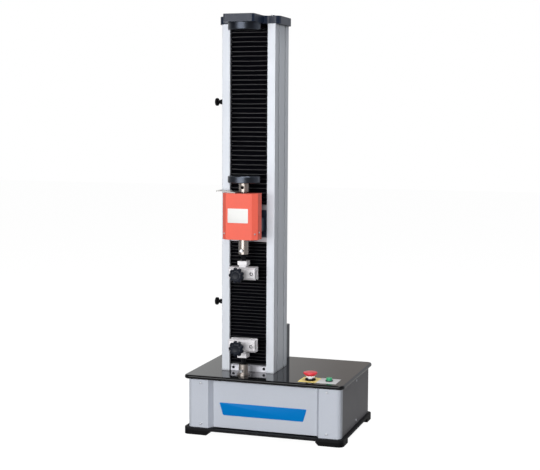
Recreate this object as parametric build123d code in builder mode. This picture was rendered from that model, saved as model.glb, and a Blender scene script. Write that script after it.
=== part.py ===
from build123d import *

import os
from math import radians, sqrt, tan

# Single-column electronic testing machine. Millimetres, +Z up, +Y away from the user.
# The origin is on the floor, under the middle of the base cabinet.

# Feet and plinth
foot_height = 12.5
foot_length = 80.0
foot_width = 60.0
foot_slope = 9.0
plinth_height = 7.5
plinth_rim = 12.0
plinth_floor = 2.5

# Base cabinet and table plate
plate_width = 480.0
plate_depth = 360.0
plate_thickness = 12.0
plate_corner_radius = 16.0
plate_edge_radius = 5.0
cabinet_height = 143.0
cabinet_inset = 10.4
cabinet_corner_radius = 14.0
panel_wall = 2.0
panel_flange = 10.0
fascia_wall = 3.0
fascia_return = 26.0
pilaster_width = 62.9
recess_depth = 18.0
recess_bevel = 10.5
post_size = 22.0
post_screw_inset = 40.0
side_post_y = 15.0
screw_margin = 11.5
vent_count = 14
vent_pitch = 11.0
vent_width = 4.0
vent_height = 42.0
vent_row_x = -60.0

# Screws
panel_screw_radius = 2.0
panel_screw_head_radius = 3.8
panel_screw_head = 2.2
panel_screw_length = 14.0
column_screw_radius = 3.0
column_screw_head_radius = 5.5
column_screw_head = 3.2
column_screw_grip = 16.0
screw_clearance = 0.2

# Column of two side extrusions
column_x = -75.6
column_width = 161.3
column_front = -82.7
column_depth = 129.1
column_height = 1011.3
flange_width = 23.9
flange_edge_radius = 1.5
slot_setbacks = (35.7, 95.7)
slot_throat = 10.0
slot_lip = 3.5
slot_chamber_width = 17.0
slot_chamber_depth = 12.5
channel_setback = 8.5
channel_width = 22.0
channel_depth = 3.5
back_sheet = 3.0

# Top cap and upper platen
cap_thickness = 22.5
cap_overhang = 11.0
cap_front_setback = 3.0
cap_rear_setback = 1.7
cap_corner_radius = 16.0
cap_nose_width = 93.0
cap_nose_reach = 54.6
cap_nose_chamfer = 6.0
cap_web_radius = 14.0
platen_radius = 46.5
platen_thickness = 20.0
platen_edge = 1.5
platen_spigot_radius = 10.0
platen_spigot = 8.0

# Load line through the platens and the grips
load_y = -120.0

# Ball screw, guide rods and their bearings
drive_y = -10.0
screw_radius = 10.0
screw_journal_radius = 6.0
rod_radius = 8.0
rod_spacing = 76.0
rod_seat = 6.0
bearing_flange_radius = 27.0
bearing_flange = 8.0
bearing_body_radius = 20.0
bearing_body = 11.0
running_clearance = 0.05
seat_clearance = 0.2
end_clearance = 0.3

# Belt drive in the base
pulley_pitch = 8.0
screw_pulley_teeth = 24
motor_pulley_teeth = 12
tooth_depth = 2.6
pulley_width = 16.0
pulley_flange = 1.5
pulley_drop = 15.0
belt_thickness = 3.2
belt_clearance = 0.3
drive_centres = 105.0
motor_size = 60.0
motor_floor_gap = 13.0
motor_shaft_radius = 4.0
mount_thickness = 6.0
mount_depth = 70.0
mount_side_gap = 9.0
mount_hole_radius = 19.0
mount_drop = 53.0

# Pleated bellows
pleat_count = 37
pleat_depth = 15.0
pleat_skin = 1.9
pleat_setback = 11.0
bellows_end_plate = 16.0
bracket_height = 19.0
bracket_depth = 22.0
bracket_screw_spacing = 94.6

# Crosshead
crosshead_rise = 438.0
crosshead_gap = 0.7
block_height = 70.0
block_front = -50.0
block_depth = 80.0
bushing_radius = 14.0
bushing_length = 30.0
nut_radius = 18.0
nut_length = 44.0
nut_flange_radius = 29.0
nut_flange = 10.0
nut_flats = 44.0
arm_plate_height = 80.0
arm_seat_rise = 19.0
arm_shelf = 14.0
arm_cheek = 10.0
arm_cheek_height = 44.0
upper_bar_height = 15.0
lower_bar_height = 13.0
bar_depth = 22.0

# Load cell under its cover
cell_radius = 38.0
cell_height = 28.0
cell_rim = 10.0
cell_hub_radius = 15.0
cell_web = 9.0
cell_window_count = 6
cell_window_radius = 4.5
cover_drop = 40.0
cover_rise = 92.0
cover_face_width = 78.0
cover_bevel = 14.0
cover_face_reach = 45.0
cover_back_reach = 2.0
cover_wall = 2.0
striker_thickness = 3.0
striker_width = 12.0
striker_gap = 2.0

# Adapters on the load line
adapter_length = 26.0
lower_platen_thickness = 19.2
adapter_radius = 14.5
adapter_shaft_radius = 8.0
adapter_spigot_radius = 7.0
adapter_spigot = 10.0
adapter_hole_radius = 4.75
upper_connector_radius = 15.0
upper_connector_length = 84.0
upper_connector_gap = 6.0
lower_connector_radius = 14.0
lower_connector_height = 31.0
lower_connector_flange_radius = 19.0
lower_connector_flange = 4.0
connector_bore_radius = 10.0
connector_bore_depth = 25.0
cross_pin_radius = 4.5
cross_pin_front = 23.0
cross_pin_back = 17.0
upper_pin_from_mouth = 11.0
lower_pin_from_mouth = 18.0
stud_radius = 6.0

# Grips
upper_stud_shown = 19.5
lower_stud_shown = 20.5
grip_width = 80.0
grip_depth = 38.0
grip_height = 36.0
grip_front_chamfer = 6.0
grip_corner = 7.0
grip_web = 8.0
grip_rear_wall = 12.0
grip_front_wall = 8.0
fixed_jaw = 6.0
jaw_width = 42.0
jaw_thickness = 5.0
jaw_play = 0.3
jaw_plate_width = 74.0
grip_stem = 5.5
grip_stem_width = 21.0
grip_stem_depth = 24.0
grip_neck = 12.0
grip_neck_width = 27.6
grip_neck_depth = 29.0
guide_pin_spacing = 60.0
guide_pin_radius = 5.0
guide_pin_head_radius = 6.5
guide_pin_head = 1.5
knob_radius = 23.0
knob_thickness = 14.0
knob_lobes = 9
knob_notch_radius = 4.6
knob_hub_radius = 11.0
knob_hub_length = 24.0
knob_reach = 46.0
knob_screw_radius = 6.0

# Travel stops in the front slot of the left extrusion
stop_rod_radius = 4.0
stop_rod_below = 37.0
stop_rod_in_cap = 4.0
stop_rod_travel = 3.0
stop_flag_radius = 9.0
stop_flag = 4.0
upper_stop_rise = 790.0
lower_stop_rise = 200.0
stop_block_height = 18.0
stop_sleeve_radius = 7.3
stop_sleeve = 10.4
thumb_head_radius = 12.0
thumb_head = 12.0
thumb_hub = 12.0
thumb_flutes = 18
thumb_flute_radius = 1.3
thumb_screw_radius = 2.5
switch_height = 11.5
switch_bracket = 3.0

# Controls on the table plate
estop_from_side = 110.0
estop_from_front = 50.0
estop_head_radius = 20.0
estop_head_height = 11.5
estop_under_radius = 14.0
estop_rim_height = 8.5
estop_flange_radius = 15.0
estop_flange = 4.5
estop_neck_radius = 11.0
estop_block = 28.0
estop_travel = 4.0
estop_skirt_radius = 13.0
estop_skirt = 4.5
estop_stem_radius = 6.5
start_from_side = 55.0
start_from_front = 53.0
start_bezel_radius = 10.5
start_bezel = 4.0
start_thread_radius = 8.0
start_button_radius = 8.5
start_button_rise = 6.5
start_travel = 3.0
start_stem_radius = 4.0
start_block = 16.0

# Box behind the column, mains inlet and electronics
rear_box_width = 101.0
rear_box_from_edge = 3.0
rear_box_height = 104.0
rear_box_corner = 4.0
rear_box_wall = 2.0
board_width = 80.0
board_height = 78.0
board_thickness = 1.6
board_standoff = 12.0
board_post_inset = 5.0
board_post_radius = 3.0
board_part_height = 6.0
data_socket_width = 31.0
data_socket_height = 12.5
inlet_post_gap = 13.6
inlet_z = 92.0
inlet_width = 30.0
inlet_height = 60.0
inlet_flange = 3.0
inlet_body_depth = 24.0
inlet_border = 2.0
socket_width = 21.0
socket_height = 16.0
socket_depth = 15.0
socket_drop = 14.0
rocker_width = 18.0
rocker_height = 15.0
rocker_tilt = 7.0
rocker_rise = 14.0
rocker_gap = 1.6
rocker_root = 3.0
rocker_root_half = 5.0
rocker_crest = 4.5
rocker_dip = 3.2
rocker_pivot_radius = 3.6
drive_unit_post_gap = 11.1
drive_unit_mount_gap = 15.1
drive_unit_depth = 120.0
drive_unit_height = 46.0
fin_count = 9
fin_height = 18.0
fin_thickness = 3.0

# Levels and faces worked out from the sizes above
plinth_top = foot_height + plinth_height
tray_floor = foot_height + plinth_floor
plate_bottom = plinth_top + cabinet_height
table_top = plate_bottom + plate_thickness
column_top = table_top + column_height
cap_top = column_top + cap_thickness
cabinet_side = plate_width / 2 - cabinet_inset
cabinet_front = -(plate_depth / 2 - cabinet_inset)
cabinet_back = -cabinet_front
column_back = column_front + column_depth
column_middle_y = column_front + column_depth / 2
opening_width = column_width - 2 * flange_width
profile_offset = (column_width - flange_width) / 2
bar_width = opening_width - 2 * crosshead_gap
crosshead_z = table_top + crosshead_rise
crosshead_top = crosshead_z + arm_plate_height / 2
crosshead_bottom = crosshead_z - arm_plate_height / 2
upper_bar_top = crosshead_top + upper_bar_height
lower_bar_bottom = crosshead_bottom - lower_bar_height
pleat_front = column_front + pleat_setback
pleat_back = pleat_front + pleat_depth + pleat_skin
arm_seat_z = crosshead_z + arm_seat_rise
cover_bottom = crosshead_z - cover_drop
cover_top = crosshead_z + cover_rise
cover_front = load_y - cover_face_reach
cover_back = load_y + cover_back_reach
cover_half_width = cover_face_width / 2 + cover_bevel
lower_platen_bottom = cover_top + striker_thickness + adapter_length
upper_connector_top = arm_seat_z - arm_shelf - upper_connector_gap
upper_connector_bottom = upper_connector_top - upper_connector_length
lower_mouth = table_top + lower_connector_height
grip_to_neck = grip_height / 2 + grip_stem + grip_neck
upper_grip_z = upper_connector_bottom - upper_stud_shown - grip_to_neck
lower_grip_z = lower_mouth + lower_stud_shown + grip_to_neck
upper_stop_z = table_top + upper_stop_rise
lower_stop_z = table_top + lower_stop_rise
stop_y = column_front + slot_setbacks[0]
column_left_face = column_x - column_width / 2
stop_rod_x = column_left_face + slot_lip + slot_chamber_depth / 2
screw_top = column_top + bearing_body
pulley_top = plate_bottom - pulley_drop
pulley_bottom = pulley_top - pulley_width
motor_x = column_x + drive_centres
screw_pulley_radius = screw_pulley_teeth * pulley_pitch / 6.2832
motor_pulley_radius = motor_pulley_teeth * pulley_pitch / 6.2832
mount_top = plate_bottom - mount_drop
motor_top = mount_top - mount_thickness
motor_length = motor_top - tray_floor - motor_floor_gap
mount_width = motor_size + 2 * (mount_side_gap + mount_thickness)
post_x = cabinet_side - post_screw_inset
side_post_x = cabinet_side - panel_wall - post_size / 2
drive_unit_left = motor_x + mount_width / 2 + drive_unit_mount_gap
drive_unit_right = side_post_x - post_size / 2 - drive_unit_post_gap
drive_unit_width = drive_unit_right - drive_unit_left
drive_unit_x = (drive_unit_left + drive_unit_right) / 2
inlet_x = post_x - post_size / 2 - inlet_post_gap - inlet_width / 2
estop_x = plate_width / 2 - estop_from_side
estop_y = estop_from_front - plate_depth / 2
start_x = plate_width / 2 - start_from_side
start_y = start_from_front - plate_depth / 2
rear_box_back = plate_depth / 2 - rear_box_from_edge
rear_box_depth = rear_box_back - column_back

os.makedirs("parts", exist_ok=True)

# Feet: four corner blocks whose inner ends slope up to the plinth
with BuildPart() as feet:
    with BuildSketch():
        RectangleRounded(plate_width, plate_depth, plate_corner_radius)
        Rectangle(plate_width - 2 * foot_length, plate_depth, mode=Mode.SUBTRACT)
        Rectangle(plate_width, plate_depth - 2 * foot_width, mode=Mode.SUBTRACT)
    extrude(amount=foot_height)
    inner_ends = feet.edges().group_by(Axis.Z)[0].filter_by(Axis.Y).filter_by(
        lambda edge: abs(edge.center().X) < plate_width / 2 - foot_length + 1)
    chamfer(inner_ends, length=foot_slope)
feet.part.label = "feet"
export_step(feet.part, "parts/feet.step")

# Plinth tray: the dark strip under the cabinet, with the floor that carries the drive
with BuildPart() as plinth_tray:
    with BuildSketch(Plane.XY.offset(foot_height)):
        RectangleRounded(plate_width, plate_depth, plate_corner_radius)
    extrude(amount=plinth_height)
    with BuildSketch(Plane.XY.offset(tray_floor)):
        Rectangle(plate_width - 2 * plinth_rim, plate_depth - 2 * plinth_rim)
    extrude(amount=plinth_height, mode=Mode.SUBTRACT)
plinth_tray.part.label = "plinth_tray"
export_step(plinth_tray.part, "parts/plinth_tray.step")

# Posts between the tray and the table plate: two rows of three
post_front_y = cabinet_front + fascia_wall + post_size / 2
post_back_y = cabinet_back - panel_wall - post_size / 2
post_places = [(side * post_x, y) for side in (-1, 1) for y in (post_front_y, post_back_y)]
post_places += [(side * side_post_x, side_post_y) for side in (-1, 1)]
screw_levels = (plinth_top + screw_margin, plate_bottom - screw_margin)
with BuildPart() as corner_posts:
    with BuildSketch(Plane.XY.offset(tray_floor)):
        with Locations(*post_places):
            Rectangle(post_size, post_size)
    extrude(amount=plate_bottom - tray_floor)
    for level in screw_levels:
        for side in (-1, 1):
            with Locations((side * post_x, cabinet_front, level), (side * post_x, cabinet_back, level)):
                Cylinder(panel_screw_radius + screw_clearance, 2 * panel_screw_length + 4,
                         rotation=(90, 0, 0), mode=Mode.SUBTRACT)
            with Locations((side * cabinet_side, side_post_y, level)):
                Cylinder(panel_screw_radius + screw_clearance, 2 * panel_screw_length + 4,
                         rotation=(0, 90, 0), mode=Mode.SUBTRACT)
corner_posts.part.label = "corner_posts"
export_step(corner_posts.part, "parts/corner_posts.step")

# Front fascia: one bent sheet with a pilaster at each end and a sunk panel between them
pilaster_edge = cabinet_side - pilaster_width
fascia_end = cabinet_front + fascia_return
with BuildPart() as front_fascia:
    with BuildSketch(Plane.XY.offset(plinth_top)) as fascia_plan:
        with BuildLine():
            Polyline(
                (-cabinet_side, fascia_end + fascia_wall),
                (-cabinet_side, cabinet_front),
                (-pilaster_edge, cabinet_front),
                (-pilaster_edge + recess_bevel, cabinet_front + recess_depth),
                (pilaster_edge - recess_bevel, cabinet_front + recess_depth),
                (pilaster_edge, cabinet_front),
                (cabinet_side, cabinet_front),
                (cabinet_side, fascia_end + fascia_wall),
                close=True,
            )
        make_face()
        corners = fascia_plan.vertices().filter_by(
            lambda v: v.Y < cabinet_front + 1 and abs(v.X) > cabinet_side - 1)
        fillet(corners, radius=cabinet_corner_radius)
        offset(amount=-fascia_wall, mode=Mode.SUBTRACT)
        with Locations((0, fascia_end + fascia_wall / 2)):
            Rectangle(plate_width, fascia_wall, mode=Mode.SUBTRACT)
    extrude(amount=cabinet_height)
    for level in screw_levels:
        with Locations((-post_x, cabinet_front, level), (post_x, cabinet_front, level)):
            Cylinder(panel_screw_radius + screw_clearance, 4 * fascia_wall,
                     rotation=(90, 0, 0), mode=Mode.SUBTRACT)
front_fascia.part.label = "front_fascia"
export_step(front_fascia.part, "parts/front_fascia.step")

# Side panels: flat sheets with inward flanges at both ends
panel_run = cabinet_back - panel_wall - fascia_end
with BuildPart() as side_panels:
    with BuildSketch(Plane.XY.offset(plinth_top)):
        for side in (-1, 1):
            with Locations((side * (cabinet_side - panel_wall / 2), fascia_end + panel_run / 2)):
                Rectangle(panel_wall, panel_run)
            flange_x = side * (cabinet_side - panel_flange / 2)
            with Locations((flange_x, fascia_end + panel_wall / 2),
                           (flange_x, fascia_end + panel_run - panel_wall / 2)):
                Rectangle(panel_flange, panel_wall)
    extrude(amount=cabinet_height)
    for level in screw_levels:
        with Locations((-cabinet_side, side_post_y, level), (cabinet_side, side_post_y, level)):
            Cylinder(panel_screw_radius + screw_clearance, 4 * panel_wall,
                     rotation=(0, 90, 0), mode=Mode.SUBTRACT)
side_panels.part.label = "side_panels"
export_step(side_panels.part, "parts/side_panels.step")

# Rear panel with a row of cooling slots and the cut-out for the mains inlet
with BuildPart() as rear_panel:
    with BuildSketch(Plane.XZ.offset(-cabinet_back)):
        with Locations((0, plinth_top + cabinet_height / 2)):
            Rectangle(2 * cabinet_side, cabinet_height)
        with Locations((vent_row_x, plinth_top + cabinet_height / 2)):
            with GridLocations(vent_pitch, 0, vent_count, 1):
                SlotOverall(vent_height, vent_width, rotation=90, mode=Mode.SUBTRACT)
        with Locations((inlet_x, inlet_z)):
            Rectangle(inlet_width - 2 * inlet_border, inlet_height - 2 * inlet_border,
                      mode=Mode.SUBTRACT)
    extrude(amount=panel_wall)
    for level in screw_levels:
        with Locations((-post_x, cabinet_back, level), (post_x, cabinet_back, level)):
            Cylinder(panel_screw_radius + screw_clearance, 4 * panel_wall,
                     rotation=(90, 0, 0), mode=Mode.SUBTRACT)
rear_panel.part.label = "rear_panel"
export_step(rear_panel.part, "parts/rear_panel.step")

# Table plate: dark slab with rounded edges, drilled for the drive, the grip and the controls
with BuildPart() as top_plate:
    with BuildSketch(Plane.XY.offset(plate_bottom)):
        RectangleRounded(plate_width, plate_depth, plate_corner_radius)
        with Locations((column_x, drive_y)):
            Circle(bearing_body_radius + seat_clearance, mode=Mode.SUBTRACT)
        with Locations((stop_rod_x, stop_y)):
            Circle(stop_rod_radius + running_clearance, mode=Mode.SUBTRACT)
        with Locations((estop_x, estop_y)):
            Circle(estop_neck_radius + seat_clearance, mode=Mode.SUBTRACT)
        with Locations((start_x, start_y)):
            Circle(start_thread_radius + seat_clearance, mode=Mode.SUBTRACT)
        with Locations((column_x, load_y)):
            Circle(connector_bore_radius + seat_clearance, mode=Mode.SUBTRACT)
    extrude(amount=plate_thickness)
    rims = top_plate.edges().filter_by(
        lambda e: abs(e.center().X) > plate_width / 2 - plate_corner_radius
        or abs(e.center().Y) > plate_depth / 2 - plate_corner_radius)
    rims = rims.group_by(Axis.Z)[0] + rims.group_by(Axis.Z)[-1]
    fillet(rims, radius=plate_edge_radius)
    with BuildSketch(Plane.XY.offset(table_top - rod_seat)):
        with Locations((column_x, drive_y)):
            with GridLocations(rod_spacing, 0, 2, 1):
                Circle(rod_radius)
    extrude(amount=rod_seat, mode=Mode.SUBTRACT)
top_plate.part.label = "top_plate"
export_step(top_plate.part, "parts/top_plate.step")

# Rows of cap screws, between the T-slots
cap_screw_rows = (
    column_front + slot_setbacks[0] / 3,
    column_front + (slot_setbacks[0] + slot_setbacks[1]) / 2,
    column_back - (column_depth - slot_setbacks[1]) / 3,
)


def column_profile(side):
    """One side extrusion: two T-slots outside, one channel for the bellows inside."""
    centre_x = column_x + side * profile_offset
    outer_x = column_x + side * column_width / 2
    inner_x = column_x + side * opening_width / 2
    with BuildPart() as profile:
        with BuildSketch(Plane.XY.offset(table_top)) as plan:
            with Locations((centre_x, column_middle_y)):
                Rectangle(flange_width, column_depth)
            fillet(plan.vertices(), radius=flange_edge_radius)
            for setback in slot_setbacks:
                with Locations((outer_x - side * slot_lip / 2, column_front + setback)):
                    Rectangle(slot_lip, slot_throat, mode=Mode.SUBTRACT)
                chamber_x = outer_x - side * (slot_lip + slot_chamber_depth / 2)
                with Locations((chamber_x, column_front + setback)):
                    Rectangle(slot_chamber_depth, slot_chamber_width, mode=Mode.SUBTRACT)
            channel_y = column_front + channel_setback + channel_width / 2
            with Locations((inner_x + side * channel_depth / 2, channel_y)):
                Rectangle(channel_depth, channel_width, mode=Mode.SUBTRACT)
        extrude(amount=column_height)
        with Locations(*[(centre_x, y, column_top) for y in cap_screw_rows]):
            Cylinder(column_screw_radius + screw_clearance, 2 * column_screw_grip + 2,
                     mode=Mode.SUBTRACT)
    return profile


column_left = column_profile(-1)
column_left.part.label = "column_left"
export_step(column_left.part, "parts/column_left.step")
column_right = column_profile(1)
column_right.part.label = "column_right"
export_step(column_right.part, "parts/column_right.step")

# Sheet that closes the back of the column
with BuildPart() as column_back_sheet:
    with BuildSketch(Plane.XY.offset(table_top)):
        with Locations((column_x, column_back - back_sheet / 2 - flange_edge_radius)):
            Rectangle(opening_width, back_sheet)
    extrude(amount=column_height)
column_back_sheet.part.label = "column_back_sheet"
export_step(column_back_sheet.part, "parts/column_back_sheet.step")

# Top cap: a slab over the column with a nose that holds the upper platen
cap_front = column_front + cap_front_setback
cap_back = column_back - cap_rear_setback
cap_width = column_width + 2 * cap_overhang
nose_front = load_y - cap_nose_reach
cap_screw_places = [(column_x + side * profile_offset, y) for side in (-1, 1) for y in cap_screw_rows]
with BuildPart() as top_cap:
    with BuildSketch(Plane.XY.offset(column_top)) as cap_plan:
        with Locations((column_x, (cap_front + cap_back) / 2)):
            Rectangle(cap_width, cap_back - cap_front)
        fillet(cap_plan.vertices(), radius=cap_corner_radius)
        with Locations((column_x, (nose_front + load_y) / 2)):
            nose = Rectangle(cap_nose_width, load_y - nose_front)
        chamfer(cap_plan.vertices().group_by(Axis.Y)[0], length=cap_nose_chamfer)
        with Locations((column_x, (load_y + drive_y) / 2)):
            Rectangle(cap_nose_width, drive_y - load_y)
        roots = cap_plan.vertices().filter_by(
            lambda v: abs(v.Y - cap_front) < 0.1
            and abs(abs(v.X - column_x) - cap_nose_width / 2) < 0.1)
        fillet(roots, radius=cap_web_radius)
    extrude(amount=cap_thickness)
    with Locations((column_x, drive_y, column_top)):
        Cylinder(bearing_body_radius + seat_clearance, 2 * (bearing_body + end_clearance),
                 mode=Mode.SUBTRACT)
    with Locations((column_x, drive_y, column_top)):
        with GridLocations(rod_spacing, 0, 2, 1):
            Cylinder(rod_radius, 2 * rod_seat, mode=Mode.SUBTRACT)
    with Locations((stop_rod_x, stop_y, column_top)):
        Cylinder(stop_rod_radius + running_clearance, 2 * (stop_rod_in_cap + stop_rod_travel + 1),
                 mode=Mode.SUBTRACT)
    with Locations((column_x, load_y, column_top)):
        Cylinder(platen_spigot_radius, 2 * platen_spigot, mode=Mode.SUBTRACT)
    with Locations(*[(x, y, cap_top) for x, y in cap_screw_places]):
        Cylinder(column_screw_radius + screw_clearance, 2 * cap_thickness + 1, mode=Mode.SUBTRACT)
top_cap.part.label = "top_cap"
export_step(top_cap.part, "parts/top_cap.step")

# Upper platen: hardened disc under the nose, seated by a spigot
with BuildPart() as upper_platen:
    with BuildSketch(Plane.XY.offset(column_top - platen_thickness)):
        with Locations((column_x, load_y)):
            Circle(platen_radius)
    extrude(amount=platen_thickness)
    chamfer(upper_platen.edges().filter_by(GeomType.CIRCLE).group_by(Axis.Z)[0], length=platen_edge)
    with BuildSketch(Plane.XY.offset(column_top)):
        with Locations((column_x, load_y)):
            Circle(platen_spigot_radius)
    extrude(amount=platen_spigot)
upper_platen.part.label = "upper_platen"
export_step(upper_platen.part, "parts/upper_platen.step")

# Guide rods, seated in the table plate and in the cap
with BuildPart() as guide_rods:
    with BuildSketch(Plane.XY.offset(table_top - rod_seat)):
        with Locations((column_x, drive_y)):
            with GridLocations(rod_spacing, 0, 2, 1):
                Circle(rod_radius)
    extrude(amount=column_height + 2 * rod_seat)
guide_rods.part.label = "guide_rods"
export_step(guide_rods.part, "parts/guide_rods.step")

# Screw bearings: two flanged units, one on the table plate and one under the cap
with BuildPart() as screw_bearings:
    for level, up in ((table_top, 1), (column_top, -1)):
        for radius, start, length in (
            (bearing_flange_radius, 0, bearing_flange),
            (bearing_body_radius, -bearing_body, bearing_body),
        ):
            with Locations((column_x, drive_y, level + up * (start + length / 2))):
                Cylinder(radius, length)
        with Locations((column_x, drive_y, level)):
            Cylinder(screw_journal_radius + running_clearance, 4 * bearing_body, mode=Mode.SUBTRACT)
            with GridLocations(rod_spacing, 0, 2, 1):
                Cylinder(rod_radius + seat_clearance, 4 * bearing_body, mode=Mode.SUBTRACT)
screw_bearings.part.label = "screw_bearings"
export_step(screw_bearings.part, "parts/screw_bearings.step")

# Ball screw with a turned journal at each end; the lower one carries the pulley
screw_foot = table_top + bearing_flange + end_clearance
screw_head = column_top - bearing_flange - end_clearance
screw_bottom = pulley_bottom - pulley_flange
with BuildPart() as ball_screw:
    for radius, bottom, top in (
        (screw_journal_radius, screw_bottom, screw_foot),
        (screw_radius, screw_foot, screw_head),
        (screw_journal_radius, screw_head, screw_top),
    ):
        with Locations((column_x, drive_y, (bottom + top) / 2)):
            Cylinder(radius, top - bottom)
ball_screw.part.label = "ball_screw"
export_step(ball_screw.part, "parts/ball_screw.step")


def toothed_pulley(x, teeth, radius):
    """Flanged pulley on the belt's level, grooved all round."""
    with BuildPart() as pulley:
        with BuildSketch(Plane.XY.offset(pulley_bottom)):
            with Locations((x, drive_y)):
                Circle(radius)
                with PolarLocations(radius, teeth):
                    Rectangle(2 * tooth_depth, pulley_pitch / 2, mode=Mode.SUBTRACT)
        extrude(amount=pulley_width)
        for level in (pulley_bottom - pulley_flange / 2, pulley_top + pulley_flange / 2):
            with Locations((x, drive_y, level)):
                Cylinder(radius, pulley_flange)
    return pulley


screw_pulley = toothed_pulley(column_x, screw_pulley_teeth, screw_pulley_radius)
with screw_pulley:
    with Locations((column_x, drive_y, pulley_bottom)):
        Cylinder(screw_journal_radius, 4 * pulley_width, mode=Mode.SUBTRACT)
screw_pulley.part.label = "screw_pulley"
export_step(screw_pulley.part, "parts/screw_pulley.step")

# Motor pulley with its shaft, which reaches down into the motor
shaft_in_motor = motor_length / 3
shaft_top = pulley_top + pulley_flange
shaft_bottom = mount_top - mount_thickness - shaft_in_motor
motor_pulley = toothed_pulley(motor_x, motor_pulley_teeth, motor_pulley_radius)
with motor_pulley:
    with Locations((motor_x, drive_y, (shaft_top + shaft_bottom) / 2)):
        Cylinder(motor_shaft_radius, shaft_top - shaft_bottom)
motor_pulley.part.label = "motor_pulley"
export_step(motor_pulley.part, "parts/motor_pulley.step")

# Toothed belt round both pulleys
belt_inner = {column_x: screw_pulley_radius + belt_clearance, motor_x: motor_pulley_radius + belt_clearance}
with BuildPart() as drive_belt:
    with BuildSketch(Plane.XY.offset(pulley_bottom + belt_clearance)) as belt_plan:
        for x, radius in belt_inner.items():
            with Locations((x, drive_y)):
                Circle(radius + belt_thickness)
        make_hull()
    extrude(amount=pulley_width - 2 * belt_clearance)
    with BuildSketch(Plane.XY.offset(pulley_bottom)) as belt_inside:
        for x, radius in belt_inner.items():
            with Locations((x, drive_y)):
                Circle(radius)
        make_hull()
    extrude(amount=pulley_width, mode=Mode.SUBTRACT)
drive_belt.part.label = "drive_belt"
export_step(drive_belt.part, "parts/drive_belt.step")

# Motor hanging under its mount, with a bore for the shaft
with BuildPart() as motor:
    with BuildSketch(Plane.XY.offset(motor_top - motor_length)):
        with Locations((motor_x, drive_y)):
            RectangleRounded(motor_size, motor_size, 6)
    extrude(amount=motor_length)
    with Locations((motor_x, drive_y, motor_top)):
        Cylinder(motor_shaft_radius + running_clearance, 2 * shaft_in_motor + 2, mode=Mode.SUBTRACT)
motor.part.label = "motor"
export_step(motor.part, "parts/motor.step")

# Motor mount: a bridge that stands on the tray
with BuildPart() as motor_mount:
    with BuildSketch(Plane.XY.offset(tray_floor)):
        for side in (-1, 1):
            with Locations((motor_x + side * (mount_width - mount_thickness) / 2, drive_y)):
                Rectangle(mount_thickness, mount_depth)
    extrude(amount=mount_top - tray_floor)
    with BuildSketch(Plane.XY.offset(motor_top)):
        with Locations((motor_x, drive_y)):
            Rectangle(mount_width, mount_depth)
            Circle(mount_hole_radius, mode=Mode.SUBTRACT)
    extrude(amount=mount_thickness)
motor_mount.part.label = "motor_mount"
export_step(motor_mount.part, "parts/motor_mount.step")


def bellows(bottom, top, end_plate):
    """Folded sheet between two levels, with an end plate above it where one is given."""
    half_pitch = (top - bottom) / (2 * pleat_count)
    folds = []
    for i in range(2 * pleat_count + 1):
        inward = 0.0 if i % 2 else pleat_depth
        folds.append((pleat_front + inward, bottom + i * half_pitch))
    outline = folds + [(y + pleat_skin, z) for y, z in reversed(folds)]
    width = opening_width + channel_depth
    with BuildPart() as sheet:
        with BuildSketch(Plane.YZ.offset(column_x - width / 2)):
            with BuildLine():
                Polyline(*outline, close=True)
            make_face()
            if end_plate:
                with Locations(((pleat_front + pleat_back) / 2, top + end_plate / 2)):
                    Rectangle(pleat_back - pleat_front, end_plate)
        extrude(amount=width)
    return sheet


# Bellows above and below the crosshead; their edges run in the channels of the column
bellows_upper = bellows(upper_bar_top, column_top - bellows_end_plate, bellows_end_plate)
bellows_upper.part.label = "bellows_upper"
export_step(bellows_upper.part, "parts/bellows_upper.step")
bellows_lower = bellows(table_top + bracket_height, lower_bar_bottom, 0)
bellows_lower.part.label = "bellows_lower"
export_step(bellows_lower.part, "parts/bellows_lower.step")

# Bracket that holds the foot of the lower bellows on the table plate
bracket_y = pleat_front + bracket_depth / 2 - pleat_skin
bracket_screw_z = table_top + bracket_height / 2
with BuildPart() as bellows_bracket:
    with BuildSketch(Plane.XY.offset(table_top)):
        with Locations((column_x, bracket_y)):
            Rectangle(bar_width, bracket_depth)
    extrude(amount=bracket_height)
    chamfer(bellows_bracket.edges().filter_by(Axis.X).group_by(Axis.Y)[0].sort_by(Axis.Z)[-1], length=3)
    with Locations((column_x, bracket_y - bracket_depth / 2, bracket_screw_z)):
        with GridLocations(bracket_screw_spacing, 0, 2, 1):
            Cylinder(column_screw_radius + screw_clearance, 2 * column_screw_grip + 2,
                     rotation=(90, 0, 0), mode=Mode.SUBTRACT)
bellows_bracket.part.label = "bellows_bracket"
export_step(bellows_bracket.part, "parts/bellows_bracket.step")


def button_screw(radius, head_radius, head, length):
    """Button-head screw along the local Z axis, its head standing on the local origin."""
    Cylinder(radius, length, align=(Align.CENTER, Align.CENTER, Align.MAX))
    Cylinder(head_radius, head, align=(Align.CENTER, Align.CENTER, Align.MIN))


# Screws of the cabinet, the cap and the bellows bracket
with BuildPart() as frame_screws:
    panel_size = (panel_screw_radius, panel_screw_head_radius, panel_screw_head, panel_screw_length)
    for level in screw_levels:
        for side in (-1, 1):
            with Locations(Plane((side * post_x, cabinet_front, level), z_dir=(0, -1, 0))):
                button_screw(*panel_size)
            with Locations(Plane((side * post_x, cabinet_back, level), z_dir=(0, 1, 0))):
                button_screw(*panel_size)
            with Locations(Plane((side * cabinet_side, side_post_y, level), z_dir=(side, 0, 0))):
                button_screw(*panel_size)
    column_size = (column_screw_radius, column_screw_head_radius, column_screw_head)
    for x, y in cap_screw_places:
        with Locations((x, y, cap_top)):
            button_screw(*column_size, cap_thickness + column_screw_grip)
    for side in (-1, 1):
        screw_x = column_x + side * bracket_screw_spacing / 2
        face_y = bracket_y - bracket_depth / 2
        with Locations(Plane((screw_x, face_y, bracket_screw_z), z_dir=(0, -1, 0))):
            button_screw(*column_size, column_screw_grip)
frame_screws.part.label = "frame_screws"
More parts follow.
